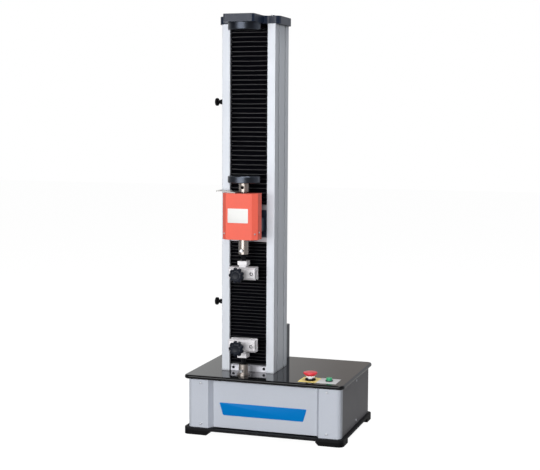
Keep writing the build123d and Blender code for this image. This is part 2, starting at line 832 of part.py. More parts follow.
export_step(frame_screws.part, "parts/frame_screws.step")

# Crosshead block inside the column, bored for the bushings and the ball nut
block_middle_y = block_front + block_depth / 2
block_bottom = crosshead_z - block_height / 2
with BuildPart() as crosshead_block:
    with BuildSketch(Plane.XY.offset(block_bottom)):
        with Locations((column_x, block_middle_y)):
            Rectangle(bar_width, block_depth)
        with Locations((column_x, drive_y)):
            Circle(nut_radius, mode=Mode.SUBTRACT)
            with GridLocations(rod_spacing, 0, 2, 1):
                Circle(bushing_radius, mode=Mode.SUBTRACT)
    extrude(amount=block_height)
crosshead_block.part.label = "crosshead_block"
export_step(crosshead_block.part, "parts/crosshead_block.step")

# Linear bushings: a pair on each rod, at the top and the bottom of the block
with BuildPart() as linear_bushings:
    for level in (block_bottom + bushing_length / 2, block_bottom + block_height - bushing_length / 2):
        with Locations((column_x, drive_y, level)):
            with GridLocations(rod_spacing, 0, 2, 1):
                Cylinder(bushing_radius, bushing_length)
                Cylinder(rod_radius + running_clearance, bushing_length, mode=Mode.SUBTRACT)
linear_bushings.part.label = "linear_bushings"
export_step(linear_bushings.part, "parts/linear_bushings.step")

# Ball nut under the block, its flange cut flat beside the rods
with BuildPart() as ball_nut:
    with BuildSketch(Plane.XY.offset(block_bottom - nut_flange)):
        with Locations((column_x, drive_y)):
            Circle(nut_flange_radius)
            Rectangle(nut_flats, 2 * nut_flange_radius, mode=Mode.INTERSECT)
    extrude(amount=nut_flange)
    with Locations((column_x, drive_y, block_bottom + nut_length / 2)):
        Cylinder(nut_radius, nut_length)
    with Locations((column_x, drive_y, block_bottom)):
        Cylinder(screw_radius + running_clearance, 3 * nut_length, mode=Mode.SUBTRACT)
ball_nut.part.label = "ball_nut"
export_step(ball_nut.part, "parts/ball_nut.step")


def cover_outline(inset, back):
    """Plan of the load cell cover, drawn inside its outer faces by the inset."""
    bevel_shift = inset * tan(radians(22.5))
    half = cover_half_width - inset
    face = cover_face_width / 2 - bevel_shift
    front = cover_front + inset
    bevel_end = cover_front + cover_bevel + bevel_shift
    return [
        (column_x - half, back),
        (column_x - half, bevel_end),
        (column_x - face, front),
        (column_x + face, front),
        (column_x + half, bevel_end),
        (column_x + half, back),
    ]


# Crosshead arm: a plate between the bellows, two cheeks and a shelf for the load cell
cheek_front = cover_front + cover_bevel + cover_wall
cheek_inset = cover_half_width - cover_wall - arm_cheek / 2
with BuildPart() as crosshead_arm:
    with BuildSketch(Plane.XY.offset(crosshead_bottom)):
        with Locations((column_x, (pleat_front + block_front) / 2)):
            Rectangle(bar_width, block_front - pleat_front)
    extrude(amount=arm_plate_height)
    with BuildSketch(Plane.XY.offset(arm_seat_z - arm_shelf)):
        with BuildLine():
            Polyline(*cover_outline(cover_wall, pleat_front), close=True)
        make_face()
        with Locations((column_x, load_y)):
            Circle(upper_connector_radius + 2, mode=Mode.SUBTRACT)
    extrude(amount=arm_shelf)
    for side in (-1, 1):
        with BuildSketch(Plane.YZ.offset(column_x + side * cheek_inset - arm_cheek / 2)):
            with BuildLine():
                Polyline(
                    (pleat_front, arm_seat_z - arm_shelf),
                    (cheek_front, arm_seat_z - arm_shelf),
                    (cheek_front, arm_seat_z - arm_shelf - arm_cheek),
                    (pleat_front, arm_seat_z - arm_cheek_height),
                    close=True,
                )
            make_face()
        extrude(amount=arm_cheek)
crosshead_arm.part.label = "crosshead_arm"
export_step(crosshead_arm.part, "parts/crosshead_arm.step")

# Bars that clamp the bellows to the crosshead, one above and one below the arm plate
bar_y = pleat_front + bar_depth / 2 - pleat_skin
with BuildPart() as clamp_bars:
    for middle, height in (
        (crosshead_top + upper_bar_height / 2, upper_bar_height),
        (crosshead_bottom - lower_bar_height / 2, lower_bar_height),
    ):
        with Locations((column_x, bar_y, middle)):
            Box(bar_width, bar_depth, height)
clamp_bars.part.label = "clamp_bars"
export_step(clamp_bars.part, "parts/clamp_bars.step")

# Load cell: a rim on the shelf, a thin web with windows and a hub on the load line
cell_top = arm_seat_z + cell_height
web_top = arm_seat_z + (cell_height + cell_web) / 2
web_bottom = arm_seat_z + (cell_height - cell_web) / 2
window_circle = (cell_radius - cell_rim + cell_hub_radius) / 2
with BuildPart() as load_cell:
    with Locations((column_x, load_y, arm_seat_z + cell_height / 2)):
        Cylinder(cell_radius, cell_height)
    for start, end in ((arm_seat_z, web_bottom), (web_top, cell_top)):
        with BuildSketch(Plane.XY.offset(start)):
            with Locations((column_x, load_y)):
                Circle(cell_radius - cell_rim)
                Circle(cell_hub_radius, mode=Mode.SUBTRACT)
        extrude(amount=end - start, mode=Mode.SUBTRACT)
    with Locations((column_x, load_y, cell_top)):
        with PolarLocations(window_circle, cell_window_count):
            Cylinder(cell_window_radius, 2 * cell_height + 2, mode=Mode.SUBTRACT)
        with PolarLocations(cell_radius - cell_rim / 2, 4, start_angle=45):
            Cylinder(column_screw_radius + screw_clearance, 2 * cell_height + 2, mode=Mode.SUBTRACT)
load_cell.part.label = "load_cell"
export_step(load_cell.part, "parts/load_cell.step")

# Cover of the load cell: folded sheet, open at the back and slotted for the load line
with BuildPart() as cell_cover:
    with BuildSketch(Plane.XY.offset(cover_bottom)):
        with BuildLine():
            Polyline(*cover_outline(0, cover_back), close=True)
        make_face()
    extrude(amount=cover_top - cover_bottom)
    with BuildSketch(Plane.XY.offset(cover_bottom + cover_wall)):
        with BuildLine():
            Polyline(*cover_outline(cover_wall, cover_back + cover_wall), close=True)
        make_face()
    extrude(amount=cover_top - cover_bottom - 2 * cover_wall, mode=Mode.SUBTRACT)
    for level, radius in (
        (cover_bottom, upper_connector_radius + 2),
        (cover_top - cover_wall, adapter_shaft_radius + 2),
    ):
        with BuildSketch(Plane.XY.offset(level)):
            with Locations((column_x, load_y)):
                Circle(radius)
            with Locations((column_x, load_y + cover_back_reach / 2)):
                Rectangle(2 * radius, cover_back_reach)
        extrude(amount=cover_wall, mode=Mode.SUBTRACT)
cell_cover.part.label = "cell_cover"
export_step(cell_cover.part, "parts/cell_cover.step")

# Bolts that hold the load cell to the shelf
with BuildPart() as cell_bolts:
    with Locations((column_x, load_y, cell_top)):
        with PolarLocations(cell_radius - cell_rim / 2, 4, start_angle=45):
            button_screw(column_screw_radius, column_screw_head_radius - 1, column_screw_head, cell_height)
cell_bolts.part.label = "cell_bolts"
export_step(cell_bolts.part, "parts/cell_bolts.step")

# Striker: bent plate from the top of the cover round to the stops beside the column
striker_left = column_left_face - striker_gap - striker_width
striker_back = stop_y + stop_sleeve_radius + 1
striker_front_y = column_front - striker_gap - striker_width
tongue_right = column_x - adapter_radius - striker_gap
tongue_left = tongue_right - 2 * striker_width
tongue_front = cover_front + cover_bevel
with BuildPart() as striker_plate:
    with BuildSketch(Plane.XY.offset(cover_top)):
        with Locations((striker_left, striker_front_y)):
            Rectangle(striker_width, striker_back - striker_front_y, align=Align.MIN)
            Rectangle(tongue_right - striker_left, striker_width, align=Align.MIN)
        with Locations((tongue_left, tongue_front)):
            Rectangle(tongue_right - tongue_left, striker_front_y - tongue_front, align=Align.MIN)
    extrude(amount=striker_thickness)
striker_plate.part.label = "striker_plate"
export_step(striker_plate.part, "parts/striker_plate.step")

# Adapters on the load line: platen carrier above the cell, grip connector below it
adapter_bottom = cover_top + striker_thickness
with BuildPart() as load_adapters:
    for radius, bottom, top in (
        (adapter_shaft_radius, cell_top, adapter_bottom),
        (adapter_radius, adapter_bottom, lower_platen_bottom),
        (adapter_spigot_radius, lower_platen_bottom, lower_platen_bottom + adapter_spigot),
        (adapter_shaft_radius, upper_connector_top, arm_seat_z),
        (upper_connector_radius, upper_connector_bottom, upper_connector_top),
    ):
        with Locations((column_x, load_y, (bottom + top) / 2)):
            Cylinder(radius, top - bottom)
    with Locations((column_x, load_y, (adapter_bottom + lower_platen_bottom) / 2)):
        Cylinder(adapter_hole_radius, 3 * adapter_radius, rotation=(90, 0, 0), mode=Mode.SUBTRACT)
    with Locations((column_x, load_y, upper_connector_bottom)):
        Cylinder(connector_bore_radius, 2 * connector_bore_depth, mode=Mode.SUBTRACT)
    with Locations((column_x, load_y, upper_connector_bottom + upper_pin_from_mouth)):
        Cylinder(cross_pin_radius, 3 * upper_connector_radius, rotation=(90, 0, 0), mode=Mode.SUBTRACT)
load_adapters.part.label = "load_adapters"
export_step(load_adapters.part, "parts/load_adapters.step")

# Lower platen on the adapter's spigot
with BuildPart() as lower_platen:
    with Locations((column_x, load_y, lower_platen_bottom + lower_platen_thickness / 2)):
        Cylinder(platen_radius, lower_platen_thickness)
    chamfer(lower_platen.edges().filter_by(GeomType.CIRCLE), length=platen_edge)
    with Locations((column_x, load_y, lower_platen_bottom)):
        Cylinder(adapter_spigot_radius, 2 * adapter_spigot, mode=Mode.SUBTRACT)
lower_platen.part.label = "lower_platen"
export_step(lower_platen.part, "parts/lower_platen.step")

# Connector of the lower grip on the table plate
with BuildPart() as lower_connector:
    for radius, bottom, top in (
        (connector_bore_radius, plate_bottom, table_top),
        (lower_connector_flange_radius, table_top, table_top + lower_connector_flange),
        (lower_connector_radius, table_top, lower_mouth),
    ):
        with Locations((column_x, load_y, (bottom + top) / 2)):
            Cylinder(radius, top - bottom)
    with Locations((column_x, load_y, lower_mouth)):
        Cylinder(connector_bore_radius, 2 * connector_bore_depth, mode=Mode.SUBTRACT)
    with Locations((column_x, load_y, lower_mouth - lower_pin_from_mouth)):
        Cylinder(cross_pin_radius, 3 * lower_connector_radius, rotation=(90, 0, 0), mode=Mode.SUBTRACT)
lower_connector.part.label = "lower_connector"
export_step(lower_connector.part, "parts/lower_connector.step")

# Places inside a grip, as distances along Y from the load line
grip_front = -grip_depth / 2
grip_back = grip_depth / 2
gap_front = grip_front + grip_front_wall
gap_back = grip_back - grip_rear_wall
fixed_face = gap_back - fixed_jaw
jaw_front = gap_front + jaw_play
jaw_back = jaw_front + jaw_thickness
knob_back = grip_front - knob_reach + knob_thickness / 2
knob_front = knob_back - knob_thickness


def grip_frame(middle_z, neck):
    """C-shaped grip frame: neck up for +1 or down for -1, jaws open the other way."""
    gap_height = grip_height - grip_web
    gap_z = middle_z - neck * grip_web / 2
    stem_z = middle_z + neck * (grip_height + grip_stem) / 2
    neck_z = middle_z + neck * (grip_height / 2 + grip_stem + grip_neck / 2)
    with BuildPart() as frame:
        with BuildSketch(Plane.XY.offset(middle_z - grip_height / 2)) as plan:
            with Locations((column_x, load_y)):
                Rectangle(grip_width, grip_depth)
            chamfer(plan.vertices().group_by(Axis.Y)[-1], length=grip_corner)
            chamfer(plan.vertices().group_by(Axis.Y)[0], length=grip_corner / 4)
        extrude(amount=grip_height)
        chamfer(frame.edges().filter_by(Axis.X).group_by(Axis.Y)[0], length=grip_front_chamfer)
        with Locations((column_x, load_y + (gap_front + gap_back) / 2, gap_z)):
            Box(grip_width, gap_back - gap_front, gap_height, mode=Mode.SUBTRACT)
        with Locations((column_x, load_y + (fixed_face + gap_back) / 2, gap_z)):
            Box(jaw_width, fixed_jaw, gap_height)
        with Locations((column_x, load_y, stem_z)):
            Box(grip_stem_width, grip_stem_depth, grip_stem)
        with Locations((column_x, load_y, neck_z)):
            Box(grip_neck_width, grip_neck_depth, grip_neck)
        with Locations((column_x, load_y, middle_z)):
            with GridLocations(guide_pin_spacing, 0, 2, 1):
                Cylinder(guide_pin_radius, 2 * grip_depth, rotation=(90, 0, 0), mode=Mode.SUBTRACT)
        with Locations((column_x, load_y + grip_front, middle_z)):
            Cylinder(knob_screw_radius + running_clearance, 2 * grip_front_wall + 1,
                     rotation=(90, 0, 0), mode=Mode.SUBTRACT)
        with Locations((column_x, load_y, neck_z)):
            Cylinder(stud_radius, grip_neck, mode=Mode.SUBTRACT)
    return frame


def grip_pins(middle_z, neck, mouth_z, pin_z):
    """Guide pins of the jaws, the stud with its spigot, and the cross pin through it."""
    neck_start = middle_z + neck * (grip_height / 2 + grip_stem)
    spigot_end = mouth_z + neck * (connector_bore_depth - seat_clearance)
    with BuildPart() as pins:
        with Locations((column_x, load_y, middle_z)):
            with GridLocations(guide_pin_spacing, 0, 2, 1):
                Cylinder(guide_pin_radius, grip_depth, rotation=(90, 0, 0))
        with Locations((column_x, load_y + grip_front - guide_pin_head / 2, middle_z)):
            with GridLocations(guide_pin_spacing, 0, 2, 1):
                Cylinder(guide_pin_head_radius, guide_pin_head, rotation=(90, 0, 0))
        with Locations((column_x, load_y, (neck_start + mouth_z) / 2)):
            Cylinder(stud_radius, abs(mouth_z - neck_start))
        with Locations((column_x, load_y, (mouth_z + spigot_end) / 2)):
            Cylinder(connector_bore_radius - running_clearance, abs(spigot_end - mouth_z))
        with Locations((column_x, load_y + (cross_pin_back - cross_pin_front) / 2, pin_z)):
            Cylinder(cross_pin_radius + screw_clearance, cross_pin_front + cross_pin_back,
                     rotation=(90, 0, 0), mode=Mode.SUBTRACT)
            Cylinder(cross_pin_radius, cross_pin_front + cross_pin_back, rotation=(90, 0, 0))
    return pins


def moving_jaw(middle_z, neck):
    """Jaw plate on the guide pins, with a raised gripping face."""
    jaw_z = middle_z - neck * grip_web / 2
    jaw_height = grip_height - grip_web - 2 * jaw_play
    with BuildPart() as jaw:
        with Locations((column_x, load_y + (jaw_front + jaw_back) / 2, jaw_z)):
            Box(jaw_plate_width, jaw_thickness, jaw_height)
        with Locations((column_x, load_y + jaw_front, middle_z)):
            with GridLocations(guide_pin_spacing, 0, 2, 1):
                Cylinder(guide_pin_radius + running_clearance, 3 * jaw_thickness,
                         rotation=(90, 0, 0), mode=Mode.SUBTRACT)
    return jaw


def star_knob(middle_z):
    """Lobed knob with its hub and the screw that pushes the jaw."""
    screw_tip = jaw_front - seat_clearance
    hub_back = knob_back + knob_hub_length
    with BuildPart() as knob:
        with BuildSketch(Plane.XZ.offset(-(load_y + knob_back))) as star:
            with Locations((column_x, middle_z)):
                Circle(knob_radius)
                with PolarLocations(knob_radius + knob_notch_radius / 3, knob_lobes):
                    Circle(knob_notch_radius, mode=Mode.SUBTRACT)
            fillet(star.vertices(), radius=knob_notch_radius / 3)
        extrude(amount=knob_thickness)
        chamfer(knob.edges().group_by(Axis.Y)[0], length=knob_thickness / 10)
        chamfer(knob.edges().group_by(Axis.Y)[-1], length=knob_thickness / 10)
        with Locations((column_x, load_y + (knob_back + hub_back) / 2, middle_z)):
            Cylinder(knob_hub_radius, knob_hub_length, rotation=(90, 0, 0))
        with Locations((column_x, load_y + (knob_back + screw_tip) / 2, middle_z)):
            Cylinder(knob_screw_radius, screw_tip - knob_back, rotation=(90, 0, 0))
    return knob


# Both grips from the same pieces: the upper hangs neck up, the lower stands neck down
upper_pin_z = upper_connector_bottom + upper_pin_from_mouth
for grip, middle_z, neck, mouth_z, pin_z in (
    ("upper", upper_grip_z, 1, upper_connector_bottom, upper_pin_z),
    ("lower", lower_grip_z, -1, lower_mouth, lower_mouth - lower_pin_from_mouth),
):
    for piece, made in (
        ("grip_frame", grip_frame(middle_z, neck)),
        ("grip_pins", grip_pins(middle_z, neck, mouth_z, pin_z)),
        ("jaw", moving_jaw(middle_z, neck)),
        ("knob", star_knob(middle_z)),
    ):
        made.part.label = f"{grip}_{piece}"
        export_step(made.part, f"parts/{grip}_{piece}.step")

# Stop rod in the front slot of the left extrusion; its flag trips the limit switches
rod_bottom = table_top - plate_thickness - stop_rod_below
flag_z = rod_bottom + stop_flag_radius + stop_flag
with BuildPart() as stop_rod:
    rod_top = column_top + stop_rod_in_cap
    with Locations((stop_rod_x, stop_y, (rod_bottom + rod_top) / 2)):
        Cylinder(stop_rod_radius, rod_top - rod_bottom)
    with Locations((stop_rod_x, stop_y, flag_z)):
        Cylinder(stop_flag_radius, stop_flag)
stop_rod.part.label = "stop_rod"
export_step(stop_rod.part, "parts/stop_rod.step")

# Limit switches above and below the flag, on one bracket under the table plate
switch_gap = stop_flag / 2 + stop_rod_travel + end_clearance
switch_near = stop_y + stop_rod_radius + end_clearance
switch_depth = stop_flag_radius + 4
with BuildPart() as limit_switches:
    for up in (-1, 1):
        with Locations((stop_rod_x, switch_near + switch_depth / 2, flag_z + up * (switch_gap + switch_height / 2))):
            Box(2 * stop_flag_radius, switch_depth, switch_height)
    bracket_bottom = flag_z - switch_gap - switch_height
    with Locations((stop_rod_x, switch_near + switch_depth + switch_bracket / 2,
                    (bracket_bottom + plate_bottom) / 2)):
        Box(2 * stop_flag_radius, switch_bracket, plate_bottom - bracket_bottom)
limit_switches.part.label = "limit_switches"
export_step(limit_switches.part, "parts/limit_switches.step")

# Stops on the rod: a block in the slot, a neck through its throat and a sleeve outside
sleeve_start = column_left_face - end_clearance
sleeve_end = sleeve_start - stop_sleeve
hub_end = sleeve_end - thumb_hub
block_width = slot_chamber_width - 2
block_length = slot_chamber_depth - 2
for stop, level in (("upper", upper_stop_z), ("lower", lower_stop_z)):
    with BuildPart() as stop_block:
        with Locations((stop_rod_x, stop_y, level)):
            Box(block_length, block_width, stop_block_height)
            Cylinder(stop_rod_radius + running_clearance, 2 * stop_block_height, mode=Mode.SUBTRACT)
        with Locations(Plane((stop_rod_x - stop_rod_radius - 1, stop_y, level), z_dir=(-1, 0, 0))):
            Cylinder(slot_throat / 2 - end_clearance, stop_rod_x - stop_rod_radius - 1 - sleeve_start,
                     align=(Align.CENTER, Align.CENTER, Align.MIN))
        with Locations(Plane((sleeve_start, stop_y, level), z_dir=(-1, 0, 0))):
            Cylinder(stop_sleeve_radius, stop_sleeve, align=(Align.CENTER, Align.CENTER, Align.MIN))
            Cylinder(thumb_screw_radius + running_clearance, 4 * stop_sleeve,
                     align=(Align.CENTER, Align.CENTER, Align.CENTER), mode=Mode.SUBTRACT)
    stop_block.part.label = f"{stop}_stop"
    export_step(stop_block.part, f"parts/{stop}_stop.step")
    with BuildPart() as thumb_screw:
        with BuildSketch(Plane((hub_end, stop_y, level), z_dir=(-1, 0, 0))):
            Circle(thumb_head_radius)
            with PolarLocations(thumb_head_radius, thumb_flutes):
                Circle(thumb_flute_radius, mode=Mode.SUBTRACT)
        extrude(amount=thumb_head)
        with Locations(Plane((sleeve_end - end_clearance, stop_y, level), z_dir=(-1, 0, 0))):
            Cylinder(stop_sleeve_radius, thumb_hub - end_clearance,
                     align=(Align.CENTER, Align.CENTER, Align.MIN))
        screw_end = stop_rod_x - stop_rod_radius - end_clearance
        with Locations(Plane((screw_end, stop_y, level), z_dir=(-1, 0, 0))):
            Cylinder(thumb_screw_radius, screw_end - hub_end, align=(Align.CENTER, Align.CENTER, Align.MIN))
    thumb_screw.part.label = f"{stop}_thumb_screw"
    export_step(thumb_screw.part, f"parts/{stop}_thumb_screw.step")

# Emergency stop: collar with its contact block under the plate
with BuildPart() as estop_collar:
    for radius, bottom, top in (
        (estop_flange_radius, table_top, table_top + estop_flange),
        (estop_neck_radius, plate_bottom, table_top),
    ):
        with Locations((estop_x, estop_y, (bottom + top) / 2)):
            Cylinder(radius, top - bottom)
    with Locations((estop_x, estop_y, plate_bottom - estop_block / 2)):
        Box(estop_block, estop_block, estop_block)
    with Locations((estop_x, estop_y, table_top)):
        Cylinder(estop_stem_radius + running_clearance, 2 * estop_block, mode=Mode.SUBTRACT)
estop_collar.part.label = "estop_collar"
export_step(estop_collar.part, "parts/estop_collar.step")

# Emergency stop plunger: stem, pale skirt and a spigot that the head turns on
skirt_bottom = table_top + 2 * estop_flange
skirt_top = skirt_bottom + estop_skirt
spigot_top = skirt_top + estop_head_height / 2
stem_bottom = table_top - estop_block + estop_travel + 1
with BuildPart() as estop_plunger:
    for radius, bottom, top in (
        (estop_stem_radius, stem_bottom, spigot_top),
        (estop_skirt_radius, skirt_bottom, skirt_top),
    ):
        with Locations((estop_x, estop_y, (bottom + top) / 2)):
            Cylinder(radius, top - bottom)
estop_plunger.part.label = "estop_plunger"
export_step(estop_plunger.part, "parts/estop_plunger.step")

# Emergency stop head: a mushroom with a tapered underside that pushes down and twists to release
head_base = skirt_top + end_clearance
dome_rise = estop_head_height - estop_rim_height
dome_radius = (estop_head_radius**2 + dome_rise**2) / (2 * dome_rise)
dome_shoulder = estop_head_height - dome_radius + sqrt(dome_radius**2 - estop_head_radius**2 / 4)
with BuildPart() as estop_head:
    with BuildSketch(Plane((estop_x, estop_y, head_base), x_dir=(1, 0, 0), z_dir=(0, -1, 0))):
        with BuildLine():
            underside = Line((0, 0), (estop_under_radius, 0))
            flank = Line(underside @ 1, (estop_head_radius, estop_rim_height))
            dome = ThreePointArc(flank @ 1, (estop_head_radius / 2, dome_shoulder), (0, estop_head_height))
            Line(dome @ 1, (0, 0))
        make_face()
    revolve(axis=Axis((estop_x, estop_y, 0), (0, 0, 1)))
    with Locations((estop_x, estop_y, skirt_top)):
        Cylinder(estop_stem_radius + running_clearance, 2 * (spigot_top - skirt_top + end_clearance),
                 mode=Mode.SUBTRACT)
estop_head.part.label = "estop_head"
export_step(estop_head.part, "parts/estop_head.step")

# Start button in its bezel, with the contact block under the plate
bezel_bore = start_button_radius + running_clearance
bezel_top = table_top + start_bezel
button_bottom = table_top + start_travel + end_clearance
with BuildPart() as start_bezel_part:
    for radius, bottom, top in (
        (start_bezel_radius, table_top, bezel_top),
        (start_thread_radius, plate_bottom, table_top),
    ):
        with Locations((start_x, start_y, (bottom + top) / 2)):
            Cylinder(radius, top - bottom)
    with Locations((start_x, start_y, plate_bottom - start_block / 2)):
        Box(start_block, start_block, start_block)
    with Locations((start_x, start_y, bezel_top)):
        Cylinder(bezel_bore, 2 * start_bezel, mode=Mode.SUBTRACT)
        stem_bore = start_stem_radius + running_clearance
        Cylinder(stem_bore, 2 * (start_bezel + plate_thickness + start_block) + 2, mode=Mode.SUBTRACT)
start_bezel_part.part.label = "start_bezel"
export_step(start_bezel_part.part, "parts/start_bezel.step")
with BuildPart() as start_button:
    button_top = bezel_top + start_button_rise
    with Locations((start_x, start_y, (button_bottom + button_top) / 2)):
        Cylinder(start_button_radius, button_top - button_bottom)
    chamfer(start_button.edges().group_by(Axis.Z)[-1], length=1)
    with Locations((start_x, start_y, button_bottom)):
        Cylinder(start_stem_radius, plate_thickness + start_block / 2,
                 align=(Align.CENTER, Align.CENTER, Align.MAX))
start_button.part.label = "start_button"
export_step(start_button.part, "parts/start_button.step")

# Electronics box behind the column, open to the table plate
board_y = rear_box_back - rear_box_wall - board_standoff
data_z = table_top + rear_box_height / 2
with BuildPart() as rear_box:
    with BuildSketch(Plane.XY.offset(table_top)):
        with Locations((column_x, (column_back + rear_box_back) / 2)):
            Rectangle(rear_box_width, rear_box_depth)
    extrude(amount=rear_box_height)
    fillet(rear_box.edges().filter_by(Axis.Z).group_by(Axis.Y)[-1], radius=rear_box_corner)
    with Locations((column_x, (column_back + rear_box_back) / 2, table_top)):
        Box(rear_box_width - 2 * rear_box_wall, rear_box_depth - 2 * rear_box_wall,
            2 * (rear_box_height - rear_box_wall), mode=Mode.SUBTRACT)
    with Locations((column_x, rear_box_back, data_z)):
        Box(data_socket_width + 1, 4 * rear_box_wall, data_socket_height + 1, mode=Mode.SUBTRACT)
rear_box.part.label = "rear_box"
export_step(rear_box.part, "parts/rear_box.step")

# Control board on standoffs behind the box's rear wall, its data socket through the wall
with BuildPart() as control_board:
    with Locations((column_x, board_y - board_thickness / 2, data_z)):
        Box(board_width, board_thickness, board_height)
    with Locations(Plane((column_x, board_y, data_z), x_dir=(1, 0, 0), z_dir=(0, 1, 0))):
        with GridLocations(board_width - 2 * board_post_inset, board_height - 2 * board_post_inset, 2, 2):
            Cylinder(board_post_radius, board_standoff, align=(Align.CENTER, Align.CENTER, Align.MIN))
        Box(data_socket_width, data_socket_height, board_standoff + 2 * rear_box_wall,
            align=(Align.CENTER, Align.CENTER, Align.MIN))
    board_face = (column_x, board_y - board_thickness, data_z)
    with Locations(Plane(board_face, x_dir=(1, 0, 0), z_dir=(0, -1, 0))):
        with GridLocations(board_width / 2, board_height / 2, 2, 2):
            Box(board_width / 4, board_height / 4, board_part_height,
                align=(Align.CENTER, Align.CENTER, Align.MIN))
control_board.part.label = "control_board"
export_step(control_board.part, "parts/control_board.step")

# Mains inlet in the rear panel, with a socket below and a switch well above
socket_z = inlet_z - socket_drop
rocker_z = inlet_z + rocker_rise
with BuildPart() as power_inlet:
    with Locations((inlet_x, cabinet_back + inlet_flange / 2, inlet_z)):
        Box(inlet_width, inlet_flange, inlet_height)
    with Locations((inlet_x, cabinet_back - inlet_body_depth / 2, inlet_z)):
        Box(inlet_width - 2 * inlet_border, inlet_body_depth, inlet_height - 2 * inlet_border)
    with Locations((inlet_x, cabinet_back + inlet_flange, socket_z)):
        Box(socket_width, 2 * socket_depth, socket_height, mode=Mode.SUBTRACT)
    with Locations((inlet_x, cabinet_back + inlet_flange, rocker_z)):
        Box(rocker_width + 2 * seat_clearance, 2 * rocker_height, rocker_height + 2 * rocker_gap,
            mode=Mode.SUBTRACT)
power_inlet.part.label = "power_inlet"
export_step(power_inlet.part, "parts/power_inlet.step")

# Rocker of the mains switch, round at the back about its pivot, resting in its off position
rocker_half = rocker_height / 2
rocker_y = cabinet_back + inlet_flange - rocker_half / 2
with BuildPart() as power_rocker:
    with BuildSketch(Plane.YZ.offset(inlet_x - rocker_width / 2)) as rocker_side:
        with Locations(Location((rocker_y, rocker_z, 0), (0, 0, rocker_tilt))):
            Polygon(
                (-rocker_root, -rocker_root_half),
                (rocker_crest, -rocker_half),
                (rocker_dip, 0),
                (rocker_crest, rocker_half),
                (-rocker_root, rocker_root_half),
                align=None,
            )
            Circle(rocker_pivot_radius)
    extrude(amount=rocker_width)
power_rocker.part.label = "power_rocker"
export_step(power_rocker.part, "parts/power_rocker.step")

# Drive unit on the tray: power supply and motor drive under a finned lid
with BuildPart() as drive_unit:
    with Locations((drive_unit_x, drive_y, tray_floor + drive_unit_height / 2)):
        Box(drive_unit_width, drive_unit_depth, drive_unit_height)
    with Locations((drive_unit_x, drive_y, tray_floor + drive_unit_height + fin_height / 2)):
        with GridLocations(drive_unit_width / fin_count, 0, fin_count, 1):
            Box(fin_thickness, drive_unit_depth, fin_height)
drive_unit.part.label = "drive_unit"
export_step(drive_unit.part, "parts/drive_unit.step")
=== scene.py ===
import logging
import math
import random
from collections.abc import Iterable, Sequence
from dataclasses import dataclass
from enum import Enum
from typing import Any

import bmesh
import bpy
from mathutils import Matrix, Vector


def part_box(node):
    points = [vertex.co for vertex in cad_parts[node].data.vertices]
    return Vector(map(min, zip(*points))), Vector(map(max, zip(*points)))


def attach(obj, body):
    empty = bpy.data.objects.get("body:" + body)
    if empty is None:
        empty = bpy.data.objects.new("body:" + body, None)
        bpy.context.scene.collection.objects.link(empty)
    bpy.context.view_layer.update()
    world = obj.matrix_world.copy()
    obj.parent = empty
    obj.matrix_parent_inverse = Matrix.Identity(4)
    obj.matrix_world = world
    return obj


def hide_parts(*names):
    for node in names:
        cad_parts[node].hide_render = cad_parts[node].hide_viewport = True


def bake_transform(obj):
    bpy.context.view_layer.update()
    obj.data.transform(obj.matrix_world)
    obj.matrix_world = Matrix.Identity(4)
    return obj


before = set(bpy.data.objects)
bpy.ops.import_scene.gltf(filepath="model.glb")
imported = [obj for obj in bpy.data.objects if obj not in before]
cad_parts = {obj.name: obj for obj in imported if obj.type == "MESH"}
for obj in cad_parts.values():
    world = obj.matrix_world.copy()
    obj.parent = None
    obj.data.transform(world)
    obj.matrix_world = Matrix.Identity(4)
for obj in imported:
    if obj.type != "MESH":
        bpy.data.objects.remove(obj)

LOG = logging.getLogger("testing_machine")
MM = 0.001
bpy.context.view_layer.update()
WELD = 1e-7
NEAR = 1e-6
COLUMN_X = -75.6
LOAD_Y = -120.0

# Numbers of the colour sockets of a mix node
SHARE, FIRST, SECOND, MIXED = 0, 6, 7, 2

Pair = tuple[float, float]
Point = tuple[float, float, float]
Area = tuple[float, float, float, float]
Shade = tuple[float, float, float, float]
Profile = Sequence[Pair]
Placed = tuple[bmesh.types.BMesh, Matrix]


class Grain(Enum):
    """How a surface was made, which gives its fine pattern."""

    POWDER = "powder coat"
    LACQUER = "lacquer"
    MOULDED = "moulded"
    DRAWN_Z = "drawn or ground along Z"
    MILLED_X = "milled along X"
    TURNED = "turned about Z"
    CLOTH = "coated cloth"
    PRINT = "printed film"


@dataclass(frozen=True)
class Pattern:
    """Scale and strength of a grain.

    The size is that of one grain in millimetres, and the stretch says how many
    times longer it is along X, Y and Z.
    """

    size: float
    stretch: Point = (1.0, 1.0, 1.0)
    height: float = 0.0
    gloss_swing: float = 0.05
    tint_swing: float = 0.04


# The marks of drawn, milled and turned metal are 0.1 to 0.3 mm apart and the threads of the cloth
# 0.5 mm. They are too fine to show in the render, so they are drawn as coarse as they need to be
PATTERNS: dict[Grain, Pattern] = {
    Grain.POWDER: Pattern(1.6, height=0.03, gloss_swing=0.06, tint_swing=0.03),
    Grain.LACQUER: Pattern(9.0, height=0.012, gloss_swing=0.03, tint_swing=0.02),
    Grain.MOULDED: Pattern(0.9, height=0.02, gloss_swing=0.08, tint_swing=0.05),
    Grain.DRAWN_Z: Pattern(0.7, (1.0, 1.0, 160.0), 0.006, 0.10, 0.06),
    Grain.MILLED_X: Pattern(0.8, (60.0, 1.0, 1.0), 0.008, 0.10, 0.05),
    Grain.TURNED: Pattern(1.1, (1.0, 1.0, 1.0), 0.010, 0.08, 0.05),
    Grain.CLOTH: Pattern(1.4, height=0.05, gloss_swing=0.12, tint_swing=0.15),
    Grain.PRINT: Pattern(3.0, height=0.0, gloss_swing=0.03, tint_swing=0.01),
}


